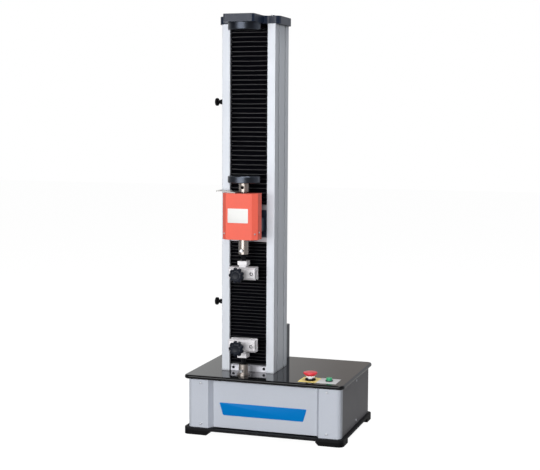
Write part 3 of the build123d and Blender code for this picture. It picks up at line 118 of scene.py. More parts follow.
@dataclass(frozen=True)
class Finish:
    """One finish of the machine: what it is made of and how it looks.

    The gloss is the strength of the clear reflection on top of the colour, 0.5 on most plastics
    and paints, and the edge is the radius in millimetres to which sharp edges look broken. The
    groove is the width in millimetres of the slots that get painted shade inside, or 0 for none.
    """

    name: str
    colour: str
    grain: Grain
    metallic: float = 0.0
    roughness: float = 0.5
    gloss: float = 0.5
    edge: float = 0.5
    wear: float = 0.0
    groove: float = 0.0
    centre: Point = (0.0, 0.0, 0.0)


def linear(colour: str) -> Shade:
    """Turn an sRGB hex colour into linear red, green, blue and alpha.

    Args:
        colour: the colour as "#rrggbb".

    Returns:
        The four linear values, with an alpha of one.
    """
    values = [int(colour[i:i + 2], 16) / 255 for i in (1, 3, 5)]
    red, green, blue = [v / 12.92 if v <= 0.04045 else ((v + 0.055) / 1.055) ** 2.4 for v in values]
    return (red, green, blue, 1.0)


def add_node(tree: bpy.types.NodeTree, kind: str, inputs: dict[Any, Any] | None = None,
             **settings: Any) -> bpy.types.Node:
    """Add a shader node with its settings, values and links.

    Args:
        tree: the node tree that gets the node.
        kind: the node's type name.
        inputs: a value, or another node's output, for each named or numbered input.
        **settings: properties of the node itself.

    Returns:
        The new node.
    """
    made = tree.nodes.new(kind)
    for name, value in settings.items():
        setattr(made, name, value)
    for socket, value in (inputs or {}).items():
        if isinstance(value, bpy.types.NodeSocket):
            tree.links.new(value, made.inputs[socket])
        else:
            made.inputs[socket].default_value = value
    return made


class PaintShop:
    """Turns finishes into materials and puts them on pieces.

    The spread is the range of two noise patterns added up. An edge begins to look worn where its
    rounded normal is less like the true one than the first likeness, and is fully worn at the
    second. The painted shade in a slot is darkest where no more of the room is open to it than the
    first openness, and the slot is no darker than the rest from the second on.
    """

    cloud_scale: float = 14.0
    spread: Pair = (0.6, 1.4)
    least_roughness: float = 0.02
    edge_samples: int = 4
    edge_likeness: Pair = (0.985, 0.80)
    rubbed_lift: float = 0.25
    rubbed_share: float = 0.9
    slot_samples: int = 6
    slot_openness: Pair = (0.35, 0.65)
    slot_shade: float = 0.06

    def __init__(self) -> None:
        """Start with no material made."""
        self._made: dict[Finish, bpy.types.Material] = {}

    def dress(self, piece: bpy.types.Object, finish: Finish) -> None:
        """Give a piece one finish all over.

        Args:
            piece: the piece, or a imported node.
            finish: the finish that it gets.
        """
        piece.data.materials.clear()
        piece.data.materials.append(self.material(finish))

    def material(self, finish: Finish) -> bpy.types.Material:
        """Return the finish's material, and make it the first time.

        Args:
            finish: the finish to look up.

        Returns:
            The material with its nodes.
        """
        if finish not in self._made:
            self._made[finish] = self._make(finish)
        return self._made[finish]

    def _make(self, finish: Finish) -> bpy.types.Material:
        """Build the node tree of one finish.

        Args:
            finish: the finish to build.

        Returns:
            The new material.
        """
        material = bpy.data.materials.new(finish.name)
        material.use_nodes = True
        tree = material.node_tree
        tree.nodes.clear()
        pattern = PATTERNS[finish.grain]
        place = add_node(tree, "ShaderNodeTexCoord").outputs["Object"]
        centred = add_node(tree, "ShaderNodeMapping", {
            "Vector": place, "Location": tuple(-value * MM for value in finish.centre),
        }).outputs["Vector"]
        stretched = add_node(tree, "ShaderNodeMapping", {
            "Vector": centred, "Scale": tuple(1.0 / value for value in pattern.stretch),
        }).outputs["Vector"]
        if finish.grain is Grain.TURNED:
            fine = add_node(tree, "ShaderNodeTexWave", {
                "Vector": stretched, "Scale": 1.0 / (pattern.size * MM * math.tau),
                "Distortion": 0.6, "Detail": 2.0,
            }, wave_type="RINGS", rings_direction="Z").outputs["Fac"]
        else:
            fine = add_node(tree, "ShaderNodeTexNoise", {
                "Vector": stretched, "Scale": 0.5 / (pattern.size * MM),
                "Detail": 2.0, "Roughness": 0.5,
            }).outputs["Fac"]
        cloud = add_node(tree, "ShaderNodeTexNoise", {
            "Vector": centred, "Scale": self.cloud_scale, "Detail": 4.0, "Roughness": 0.6,
        }).outputs["Fac"]
        mixed = add_node(tree, "ShaderNodeMath", {0: fine, 1: cloud}, operation="ADD").outputs[0]
        low, high = self.spread
        gloss = add_node(tree, "ShaderNodeMapRange", {
            "Value": mixed, "From Min": low, "From Max": high,
            "To Min": max(self.least_roughness, finish.roughness - pattern.gloss_swing),
            "To Max": min(1.0, finish.roughness + pattern.gloss_swing),
        }).outputs["Result"]
        tint = add_node(tree, "ShaderNodeMapRange", {
            "Value": mixed, "From Min": low, "From Max": high,
            "To Min": 1.0 - pattern.tint_swing, "To Max": 1.0 + pattern.tint_swing,
        }).outputs["Result"]
        colour = add_node(tree, "ShaderNodeVectorMath", {
            0: linear(finish.colour)[:3], "Scale": tint,
        }, operation="SCALE").outputs["Vector"]
        rounded = add_node(tree, "ShaderNodeBevel", {"Radius": finish.edge * MM},
                           samples=self.edge_samples).outputs["Normal"]
        if finish.wear > 0.0:
            colour = self._worn(tree, finish, colour, rounded, cloud)
        # Painted shade: the colour is darkened in slots and near other surfaces
        if finish.groove > 0.0:
            colour = self._paint_slot_shade(tree, finish, colour)
        normal = rounded
        if pattern.height > 0.0:
            normal = add_node(tree, "ShaderNodeBump", {
                "Height": fine, "Normal": rounded, "Strength": 1.0,
                "Distance": pattern.height * MM,
            }).outputs["Normal"]
        shader = add_node(tree, "ShaderNodeBsdfPrincipled", {
            "Base Color": colour, "Roughness": gloss, "Normal": normal,
            "Metallic": finish.metallic, "Specular IOR Level": finish.gloss,
        })
        add_node(tree, "ShaderNodeOutputMaterial", {"Surface": shader.outputs["BSDF"]})
        return material

    def _worn(self, tree: bpy.types.NodeTree, finish: Finish, colour: bpy.types.NodeSocket,
              rounded: bpy.types.NodeSocket,
              cloud: bpy.types.NodeSocket) -> bpy.types.NodeSocket:
        """Lighten the colour along edges, where hands and tools rub it.

        Args:
            tree: the material's node tree.
            finish: the finish, for its colour and its wear.
            colour: the colour so far.
            rounded: the normal with its edges rounded.
            cloud: the broad noise that makes the wear patchy.

        Returns:
            The colour with its worn edges.
        """
        true = add_node(tree, "ShaderNodeNewGeometry").outputs["Normal"]
        likeness = add_node(tree, "ShaderNodeVectorMath", {0: rounded, 1: true},
                            operation="DOT_PRODUCT").outputs["Value"]
        begins, full = self.edge_likeness
        edge = add_node(tree, "ShaderNodeMapRange", {
            "Value": likeness, "From Min": begins, "From Max": full,
            "To Min": 0.0, "To Max": finish.wear,
        }).outputs["Result"]
        patchy = add_node(tree, "ShaderNodeMath", {0: edge, 1: cloud},
                          operation="MULTIPLY").outputs[0]
        pale = [min(1.0, self.rubbed_lift + self.rubbed_share * value)
                for value in linear(finish.colour)[:3]]
        mix = add_node(tree, "ShaderNodeMix", {SHARE: patchy, FIRST: colour, SECOND: (*pale, 1.0)},
                       data_type="RGBA")
        return mix.outputs[MIXED]

    def _paint_slot_shade(self, tree: bpy.types.NodeTree, finish: Finish,
                 colour: bpy.types.NodeSocket) -> bpy.types.NodeSocket:
        """Darken the colour inside slots and close to other surfaces: painted shade.

        Args:
            tree: the material's node tree.
            finish: the finish, for the width of its slots.
            colour: the colour so far.

        Returns:
            The colour with painted shade in its slots.
        """
        free = add_node(tree, "ShaderNodeAmbientOcclusion", {"Distance": finish.groove * MM},
                        samples=self.slot_samples).outputs["AO"]
        dark, clear = self.slot_openness
        share = add_node(tree, "ShaderNodeMapRange", {
            "Value": free, "From Min": dark, "From Max": clear,
            "To Min": self.slot_shade, "To Max": 1.0,
        }).outputs["Result"]
        return add_node(tree, "ShaderNodeVectorMath", {0: colour, "Scale": share},
                        operation="SCALE").outputs["Vector"]


SHOP = PaintShop()

# Powder coat, light grey: sprayed polyester, a fine orange peel that spreads the highlights
CABINET_GREY = Finish("powder_coat_grey", "#B6BBC5", Grain.POWDER, roughness=0.45, edge=1.0,
                      wear=0.15)
# Powder coat, dark grey: the same orange peel, darker and with weaker highlights as painted shade,
# on the sides and the back
SHADED_SIDE_GREY = Finish("powder_coat_side_shaded", "#6E6D70", Grain.POWDER, roughness=0.5, gloss=0.3,
                   edge=1.0, wear=0.15)
# Baked lacquer, black: deep gloss that mirrors the white room and the column
PLATE_BLACK = Finish("lacquer_black", "#09090B", Grain.LACQUER, roughness=0.06, gloss=0.28,
                     edge=0.6)
# Powder coat, blue-black: satin with soft pale edges, on the cap, the arm and the rear box
SATIN_BLACK = Finish("powder_coat_black", "#141F31", Grain.POWDER, roughness=0.36, gloss=0.42,
                     edge=1.2, wear=0.08)
# Powder coat, dull black: the tray below the cabinet, almost without a highlight
DULL_BLACK = Finish("powder_coat_dull", "#111114", Grain.POWDER, roughness=0.6, gloss=0.15,
                    edge=1.0, wear=0.05)
# Injection-moulded ABS, black: a dull skin, on feet, thumb screws, switches and the inlet
MOULDED_BLACK = Finish("abs_black", "#09090B", Grain.MOULDED, roughness=0.55, gloss=0.1, edge=0.8)
# Anodised extrusion: drawn lines along the profile under a clear oxide, and painted shade in the
# slots
ANODISED = Finish("anodised_extrusion", "#CACED5", Grain.DRAWN_Z, metallic=0.25, roughness=0.5,
                  edge=0.6, groove=14.0)
# Milled aluminium plate: long shallow cutter marks that catch the light
MILLED = Finish("milled_aluminium", "#BDBDC4", Grain.MILLED_X, metallic=0.6, roughness=0.38)
# Sawn aluminium bar: duller than the milled plate and darker as painted shade, on the bars that
# clamp the bellows
SAWN_SHADED = Finish("sawn_aluminium_shaded", "#9C979B", Grain.MILLED_X, metallic=0.45, roughness=0.45)
# Ground shafting steel: bright, with fine marks along the rod
GROUND_STEEL = Finish("ground_steel", "#A9ABAF", Grain.DRAWN_Z, metallic=1.0, roughness=0.24,
                      edge=0.4)
# Sheet steel under clear lacquer: pale and satin, on the bent plate that meets the travel stops
PALE_STEEL = Finish("sheet_steel", "#A3A2A0", Grain.MOULDED, metallic=0.4, roughness=0.4,
                    edge=0.4)
# Hardened platen steel, chemically blackened: dark blue-grey with turning rings
BLACKENED = Finish("blackened_steel", "#42464E", Grain.TURNED, metallic=1.0, roughness=0.28,
                   edge=0.8, wear=0.3, centre=(COLUMN_X, LOAD_Y, 0.0))
# Black oxide: a thin dark skin that still looks like metal, on socket screws and travel stops
# The same dark metal also lays painted shade in the grooves round the grip pins
BLACK_OXIDE_AND_SHADE = Finish("black_oxide_and_shade", "#2A2B2F", Grain.MOULDED, metallic=0.9, roughness=0.4,
                     edge=0.3)
# Turned steel: warm grey with fine rings, on the fittings of the load line
TURNED_STEEL = Finish("turned_steel", "#A8A09A", Grain.TURNED, metallic=0.9, roughness=0.33,
                      edge=0.4, centre=(COLUMN_X, LOAD_Y, 0.0))
# Satin nickel plate on milled steel: nearly white with broad soft highlights, on the grips
NICKEL = Finish("satin_nickel", "#DFDDE0", Grain.MOULDED, metallic=0.15, roughness=0.45,
                edge=0.6)
# Bright zinc plate: small screws that glint
ZINC = Finish("zinc_plate", "#C8CACF", Grain.MOULDED, metallic=0.9, roughness=0.3, edge=0.2)
# Powder coat, red: a broad soft highlight on the cover of the load cell
COVER_RED = Finish("powder_coat_red", "#E96654", Grain.POWDER, roughness=0.5, gloss=0.25,
                   edge=1.0, wear=0.1)
# Coated cloth: polyester with a black polyurethane skin that shines along each fold
BELLOWS_CLOTH = Finish("coated_cloth", "#0B0B11", Grain.CLOTH, roughness=0.42, gloss=0.33,
                       edge=0.2)
# Moulded nylon, dark blue-grey: a low sheen on the star knobs
KNOB_NYLON = Finish("nylon_blue_grey", "#0C111C", Grain.MOULDED, roughness=0.38, gloss=0.25)
# Neoprene: the dull black of the belt
BELT_RUBBER = Finish("neoprene", "#141414", Grain.MOULDED, roughness=0.7, edge=0.2)
# Moulded polycarbonate: even, clear colours with a smooth gloss, on the controls
STOP_RED = Finish("polycarbonate_red", "#D42F3E", Grain.LACQUER, roughness=0.26, edge=0.4)
START_GREEN = Finish("polycarbonate_green", "#2E9768", Grain.LACQUER, roughness=0.3, edge=0.3)
RING_GREEN = Finish("polycarbonate_dark_green", "#06382A", Grain.LACQUER, roughness=0.35,
                    edge=0.3)
PALE_PLASTIC = Finish("polycarbonate_pale", "#DCDEE2", Grain.LACQUER, roughness=0.35, edge=0.3)
# Enamel, blue: an even colour with hardly a highlight, on the bare plate of the front panel
PLATE_BLUE = Finish("enamel_blue", "#0073BC", Grain.PRINT, roughness=0.35, gloss=0.08, edge=0.2)
# Polyester film, bare: even colours with a faint sheen
LEGEND_YELLOW = Finish("film_yellow", "#EBD57E", Grain.PRINT, roughness=0.4, gloss=0.3, edge=0.1)
LEGEND_SILVER = Finish("film_silver", "#CBCBCD", Grain.PRINT, roughness=0.4, gloss=0.4, edge=0.1)
LABEL_WHITE = Finish("film_white", "#E4E4E2", Grain.PRINT, roughness=0.5, gloss=0.3, edge=0.1)
# Solder-masked circuit board: a satin green
BOARD_GREEN = Finish("solder_mask", "#1C5A38", Grain.MOULDED, roughness=0.45, edge=0.2)

NODE_FINISH: dict[str, Finish] = {
    "feet": MOULDED_BLACK, "plinth_tray": DULL_BLACK, "corner_posts": MILLED,
    "front_fascia": CABINET_GREY, "side_panels": SHADED_SIDE_GREY, "rear_panel": SHADED_SIDE_GREY,
    "top_plate": PLATE_BLACK, "frame_screws": ZINC, "column_left": ANODISED,
    "column_right": ANODISED, "column_back_sheet": ANODISED, "top_cap": SATIN_BLACK,
    "upper_platen": BLACKENED,
    "guide_rods": GROUND_STEEL, "screw_bearings": BLACK_OXIDE_AND_SHADE, "ball_screw": GROUND_STEEL,
    "screw_pulley": MILLED, "motor_pulley": MILLED, "drive_belt": BELT_RUBBER, "motor": SATIN_BLACK,
    "motor_mount": MILLED, "bellows_upper": BELLOWS_CLOTH, "bellows_lower": BELLOWS_CLOTH,
    "bellows_bracket": MILLED, "crosshead_block": MILLED, "linear_bushings": GROUND_STEEL,
    "ball_nut": GROUND_STEEL, "crosshead_arm": SATIN_BLACK, "clamp_bars": SAWN_SHADED, "load_cell": NICKEL,
    "cell_cover": COVER_RED, "cell_bolts": ZINC, "striker_plate": PALE_STEEL,
    "load_adapters": TURNED_STEEL, "lower_platen": BLACKENED, "lower_connector": TURNED_STEEL,
    "upper_grip_frame": NICKEL, "upper_grip_pins": GROUND_STEEL, "upper_jaw": NICKEL,
    "upper_knob": KNOB_NYLON, "lower_grip_frame": NICKEL, "lower_grip_pins": GROUND_STEEL,
    "lower_jaw": NICKEL, "lower_knob": KNOB_NYLON, "stop_rod": GROUND_STEEL,
    "limit_switches": MOULDED_BLACK, "upper_stop": BLACK_OXIDE_AND_SHADE, "upper_thumb_screw": MOULDED_BLACK,
    "lower_stop": BLACK_OXIDE_AND_SHADE, "lower_thumb_screw": MOULDED_BLACK, "estop_collar": MOULDED_BLACK,
    "estop_plunger": PALE_PLASTIC, "estop_head": STOP_RED, "start_bezel": RING_GREEN,
    "start_button": START_GREEN, "rear_box": SATIN_BLACK, "control_board": BOARD_GREEN,
    "power_inlet": MOULDED_BLACK, "power_rocker": MOULDED_BLACK, "drive_unit": MILLED,
}


def eased(profile: Profile, radius: float, steps: int = 4) -> list[Pair]:
    """Round the inner corners of a profile.

    Args:
        profile: the corner points.
        radius: how far from a corner its curve starts, at most a third of the shorter side.
        steps: points added for each corner.

    Returns:
        The points with each inner corner turned into a short curve.
    """
    points = [Vector(p) for p in profile]
    curved = [profile[0]]
    for before, corner, after in zip(points, points[1:], points[2:]):
        reach = min(radius, (before - corner).length / 3, (after - corner).length / 3)
        start = corner + (before - corner).normalized() * reach
        end = corner + (after - corner).normalized() * reach
        for i in range(steps + 1):
            t = i / steps
            curved.append(tuple(start * (1 - t) ** 2 + corner * 2 * t * (1 - t) + end * t * t))
    curved.append(profile[-1])
    return curved


def lathe(profile: Profile, steps: int = 64) -> bmesh.types.BMesh:
    """Turn a profile of radii and heights round the Z axis.

    Args:
        profile: pairs of radius and height in millimetres.
        steps: segments of the full turn.

    Returns:
        The turned mesh, in metres.
    """
    mesh = bmesh.new()
    verts = [mesh.verts.new((r * MM, 0.0, z * MM)) for r, z in profile]
    edges = [mesh.edges.new(pair) for pair in zip(verts, verts[1:])]
    bmesh.ops.spin(mesh, geom=verts + edges, cent=(0, 0, 0), axis=(0, 0, 1), angle=math.tau,
                   steps=steps, use_merge=True)
    bmesh.ops.remove_doubles(mesh, verts=mesh.verts, dist=WELD)
    bmesh.ops.recalc_face_normals(mesh, faces=mesh.faces)
    return mesh


def slab(outline: Profile, thickness: float, bevel: float) -> bmesh.types.BMesh:
    """Raise a flat outline in the XY plane to a plate with a bevelled upper edge.

    Args:
        outline: the corners in millimetres, in order.
        thickness: the plate's thickness in millimetres.
        bevel: the width of the rounding round its upper face.

    Returns:
        The plate's mesh, in metres, from height 0 up.
    """
    mesh = bmesh.new()
    verts = [mesh.verts.new((x * MM, y * MM, 0.0)) for x, y in outline]
    face = mesh.faces.new(verts)
    raised = bmesh.ops.extrude_face_region(mesh, geom=[face])["geom"]
    top = [item for item in raised if isinstance(item, bmesh.types.BMVert)]
    bmesh.ops.translate(mesh, verts=top, vec=(0, 0, thickness * MM))
    rim = [e for e in mesh.edges if all(v.co.z > thickness * MM / 2 for v in e.verts)]
    bmesh.ops.bevel(mesh, geom=rim, offset=bevel * MM, offset_type="OFFSET", segments=2,
                    profile=0.5, affect="EDGES", material=-1)
    bmesh.ops.recalc_face_normals(mesh, faces=mesh.faces)
    return mesh


def rounded_rectangle(width: float, height: float, radius: float, steps: int = 5) -> list[Pair]:
    """Outline of a rectangle with round corners about the origin.

    Args:
        width: its size along X in millimetres.
        height: its size along Y in millimetres.
        radius: the corner radius in millimetres.
        steps: segments of each corner.

    Returns:
        The outline's points, counter-clockwise.
    """
    points = []
    for quarter, (sx, sy) in enumerate(((1, 1), (-1, 1), (-1, -1), (1, -1))):
        for i in range(steps + 1):
            angle = math.radians(90 * (quarter + i / steps))
            points.append((sx * (width / 2 - radius) + radius * math.cos(angle),
                           sy * (height / 2 - radius) + radius * math.sin(angle)))
    return points


def facing(direction: str, at: Point) -> Matrix:
    """Turn local Z to a named direction and move the local origin to a point.

    Args:
        direction: "+X", "-X", "+Y", "-Y", "+Z", "-Z", or "-Y+X" and "-Y-X" half-way between.
        at: the place in millimetres.

    Returns:
        The transform for a mesh made about the origin.
    """
    turns = {
        "+Z": Matrix.Identity(4),
        "-Z": Matrix.Rotation(math.pi, 4, "X"),
        "-Y": Matrix.Rotation(math.pi / 2, 4, "X"),
        "+Y": Matrix.Rotation(math.pi, 4, "Z") @ Matrix.Rotation(math.pi / 2, 4, "X"),
        "+X": Matrix.Rotation(math.pi / 2, 4, "Z") @ Matrix.Rotation(math.pi / 2, 4, "X"),
        "-X": Matrix.Rotation(-math.pi / 2, 4, "Z") @ Matrix.Rotation(math.pi / 2, 4, "X"),
        "-Y+X": Matrix.Rotation(math.pi / 4, 4, "Z") @ Matrix.Rotation(math.pi / 2, 4, "X"),
        "-Y-X": Matrix.Rotation(-math.pi / 4, 4, "Z") @ Matrix.Rotation(math.pi / 2, 4, "X"),
    }
    return Matrix.Translation(Vector(at) * MM) @ turns[direction]


def joined(meshes: Iterable[Placed]) -> bmesh.types.BMesh:
    """Put several meshes into one, each at its place.

    Args:
        meshes: the meshes with the transform of each; they are freed.

    Returns:
        One mesh that holds them all.
    """
    whole = bmesh.new()
    for mesh, matrix in meshes:
        bmesh.ops.transform(mesh, matrix=matrix, verts=mesh.verts)
        spare = bpy.data.meshes.new("spare")
        mesh.to_mesh(spare)
        mesh.free()
        whole.from_mesh(spare)
        bpy.data.meshes.remove(spare)
    return whole


def deliver(mesh: bmesh.types.BMesh, name: str, body: str | None, finish: Finish,
            replaced: Sequence[str] = (), smooth: float = 35.0) -> bpy.types.Object:
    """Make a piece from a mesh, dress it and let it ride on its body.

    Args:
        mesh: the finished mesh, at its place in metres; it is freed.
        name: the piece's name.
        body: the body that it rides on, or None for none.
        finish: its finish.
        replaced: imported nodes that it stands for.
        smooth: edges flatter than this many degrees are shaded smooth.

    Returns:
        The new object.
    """
    data = bpy.data.meshes.new(name)
    mesh.to_mesh(data)
    mesh.free()
    data.shade_smooth()
    data.set_sharp_from_angle(angle=math.radians(smooth))
    piece = bpy.data.objects.new(name, data)
    bpy.context.scene.collection.objects.link(piece)
    SHOP.dress(piece, finish)
    if body is not None:
        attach(piece, body)
    if replaced:
        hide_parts(*replaced)
    LOG.info("%s rides on %s", name, body or "both its ends")
    return piece


@dataclass
class ButtonScrews:
    """Button-head screws with a hexagon socket, all of one size.

    The dome is in shares of the head's radius and height, and the softness and the depth of the
    socket are shares of its height. The land, the lip and the flats are shares of the socket.
    """

    head_radius: float
    head_height: float
    socket: float
    dome: Profile = ((1.0, 0.0), (1.0, 0.15), (0.9, 0.62), (0.72, 0.92))
    land: float = 1.25
    lip: float = 1.08
    flats: float = 0.9
    depth: float = 0.55
    softness: float = 0.2
    steps: int = 24

    def head(self) -> bmesh.types.BMesh:
        """Build one head on the XY plane, pointing up.

        Returns:
            The head's mesh, with its socket.
        """
        r, h, s = self.head_radius, self.head_height, self.socket
        profile = [(share * r, rise * h) for share, rise in self.dome]
        profile += [(self.land * s, h), (self.lip * s, h)]
        mesh = lathe(eased(profile, self.softness * h, 2), self.steps)
        ring = [v for v in mesh.verts if abs(v.co.xy.length - self.lip * s * MM) < NEAR]
        side = math.tau / 6
        for vert in ring:
            angle = math.atan2(vert.co.y, vert.co.x)
            part = (angle + side / 2) % side - side / 2
            vert.co.xy = vert.co.xy.normalized() * (s * MM * self.flats / math.cos(part))
        edges = [e for e in mesh.edges if e.is_boundary and all(v in ring for v in e.verts)]
        wall = bmesh.ops.extrude_edge_only(mesh, edges=edges)["geom"]
        floor = [v for v in wall if isinstance(v, bmesh.types.BMVert)]
        bmesh.ops.translate(mesh, verts=floor, vec=(0, 0, -self.depth * h * MM))
        rim = [e for e in wall if isinstance(e, bmesh.types.BMEdge)]
        bmesh.ops.contextual_create(mesh, geom=rim)
        bmesh.ops.holes_fill(mesh, edges=[e for e in mesh.edges if e.is_boundary])
        bmesh.ops.recalc_face_normals(mesh, faces=mesh.faces)
        return mesh

    def rows(self, places: Iterable[tuple[str, Point]]) -> list[Placed]:
        """Repeat the head at several places.

        Args:
            places: the direction and the point of each head, in millimetres.

        Returns:
            One head and its transform for each place.
        """
        return [(self.head(), facing(direction, at)) for direction, at in places]


@dataclass
class Cabinet:
    """Base cabinet: its screws and the bare plate on the sunk front panel."""

    side: float = 229.6
    front: float = -169.6
    recess: float = -151.6
    post_x: float = 189.6
    side_post_y: float = 15.0
    levels: Pair = (31.5, 151.5)
    plate_top: tuple[float, float, float] = (-137.8, 126.0, 94.4)
    plate_foot: tuple[float, float, float] = (-126.9, 115.9, 57.6)
    plate_corner: float = 3.0
    plate_thickness: float = 1.2
    plate_edge: float = 0.3

    def build(self) -> None:
        """Make the cabinet's pieces."""
        self.nameplate()

    def screws(self) -> list[Placed]:
        """Heads of the panel screws on all four sides.

        Returns:
            Each head with its transform.
        """
        places: list[tuple[str, Point]] = []
        for level in self.levels:
            for side, outward in ((-1, "-X"), (1, "+X")):
                places.append(("-Y", (side * self.post_x, self.front, level)))
                places.append(("+Y", (side * self.post_x, -self.front, level)))
                places.append((outward, (side * self.side, self.side_post_y, level)))
        return ButtonScrews(head_radius=3.8, head_height=2.2, socket=1.5).rows(places)

    def nameplate(self) -> None:
        """Bare blue plate on the sunk panel, wider at the top than at the foot."""
        left, right, top = self.plate_top
        foot_left, foot_right, foot = self.plate_foot
        corners = [(foot_left, foot), (foot_right, foot), (right, top), (left, top)]
        outline = eased(corners[-1:] + corners + corners[:1], self.plate_corner)[1:-1]
        plate = slab(outline, self.plate_thickness, self.plate_edge)
        bmesh.ops.transform(plate, matrix=facing("-Y", (0.0, self.recess, 0.0)),
                            verts=plate.verts)
        deliver(plate, "front_plate", "frame", PLATE_BLUE)


@dataclass
class Column:
    """Column and cap: the heads of the cap and bracket screws."""

    x: float = COLUMN_X
    profile_offset: float = 68.7
    rows_y: tuple[float, float, float] = (-70.8, -17.0, 35.27)
    cap_top: float = 1208.8
    bracket_spacing: float = 94.6
    bracket_z: float = 184.5

    def build(self) -> None:
        """Make the two dark screws in the bellows bracket."""
        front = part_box("bellows_bracket")[0].y / MM
        places = [("-Y", (self.x + side * self.bracket_spacing / 2, front, self.bracket_z))
                  for side in (-1, 1)]
        heads = ButtonScrews(head_radius=4.2, head_height=2.6, socket=1.8).rows(places)
        deliver(joined(heads), "bracket_screws", "frame", BLACK_OXIDE_AND_SHADE)

    def screws(self) -> list[Placed]:
        """Heads of the cap screws.

        Returns:
            Each head with its transform.
        """
        places = [("+Z", (self.x + side * self.profile_offset, y, self.cap_top))
                  for side in (-1, 1) for y in self.rows_y]
        return ButtonScrews(head_radius=5.5, head_height=3.2, socket=2.3).rows(places)


@dataclass
class Bellows:
    """Pleated cover of coated cloth between the column and the crosshead.

    The edge is how much of a pleat its flat front takes, and the bend how softly it turns there.
    The slack and the sag are how far a pleat stays back and hangs, at most.
    """

    node: str
    plain_top: float
    fixed_at_top: bool
    fixed_to: str
    pleats: int = 37
    thickness: float = 0.8
    inset: float = 1.0
    rows_per_pleat: int = 16
    columns: int = 16
    edge: float = 0.125
    bend: float = 0.1
    slack: float = 0.9
    sag: float = 0.9
    seed: int = 5

    def build(self) -> None:
        """Fold the cloth and give it its thickness."""
        low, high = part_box(self.node)
        top = high.z - self.plain_top * MM
        dice = random.Random(self.seed)
        depths = [dice.uniform(0.0, self.slack) * MM for _ in range(self.pleats + 1)]
        shifts = [dice.uniform(-self.sag, self.sag) * MM for _ in range(self.pleats + 1)]
        depth = (high.y - low.y) - 2 * self.inset * MM
        longest = math.hypot(1.0, self.bend) - self.bend

        def folded(across: float, up: float) -> Vector:
            """Find the place of a point of the cloth.

            Args:
                across: the share of the width, from the left.
                up: the share of the height, from the foot.

            Returns:
                The point in metres.
            """
            number = min(int(up * self.pleats), self.pleats)
            away = abs(up * self.pleats % 1.0 - 0.5) * 2.0
            slope = max(0.0, (away - self.edge) / (1.0 - self.edge))
            wave = 1.0 - (math.hypot(slope, self.bend) - self.bend) / longest
            y = high.y - self.inset * MM - depth * wave + depths[number] * wave
            z = low.z + (top - low.z) * up + shifts[number] * wave * math.sin(math.pi * across)
            return Vector((low.x + (high.x - low.x) * across, y, z))

        rows = self.pleats * self.rows_per_pleat
        mesh = bmesh.new()
        bmesh.ops.create_grid(mesh, x_segments=self.columns, y_segments=rows, size=0.5)
        for vert in mesh.verts:
            vert.co = folded(vert.co.x + 0.5, vert.co.y + 0.5)
        bmesh.ops.recalc_face_normals(mesh, faces=mesh.faces)
        bmesh.ops.solidify(mesh, geom=mesh.faces[:], thickness=self.thickness * MM)
        bmesh.ops.recalc_face_normals(mesh, faces=mesh.faces)
        piece = deliver(mesh, f"{self.node}_cloth", None, BELLOWS_CLOTH,
                        (self.node,), smooth=50.0)
        if self.fixed_at_top:
            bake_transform(piece)
        else:
            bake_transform(piece)


@dataclass
class Crosshead:
    """Crosshead: the bare label and the screws of the load cell cover."""

    x: float = COLUMN_X
    cover_front: float = -165.0
    label: Area = (-108.7, -47.8, 621.0, 662.0)
    label_corner: float = 1.5
    label_thickness: float = 0.4
    label_edge: float = 0.1
    bevel_screw: Point = (46.0, -158.0, 589.7)
    side_screw: Point = (53.0, -139.8, 593.7)

    def build(self) -> None:
        """Make the label and the screws."""
        left, right, foot, top = self.label
        outline = rounded_rectangle(right - left, top - foot, self.label_corner)
        plate = slab(outline, self.label_thickness, self.label_edge)
        at = ((left + right) / 2, self.cover_front, (foot + top) / 2)
        bmesh.ops.transform(plate, matrix=facing("-Y", at), verts=plate.verts)
        deliver(plate, "cover_label", "crosshead", LABEL_WHITE)
        places = []
        for side, outward in ((-1, "-X"), (1, "+X")):
            for direction, (x, y, z) in (("-Y" + outward, self.bevel_screw),
                                         (outward, self.side_screw)):
                places.append((direction, (self.x + side * x, y, z)))
        heads = ButtonScrews(head_radius=2.8, head_height=1.8, socket=1.1).rows(places)
        deliver(joined(heads), "cover_screws", "crosshead", ZINC)


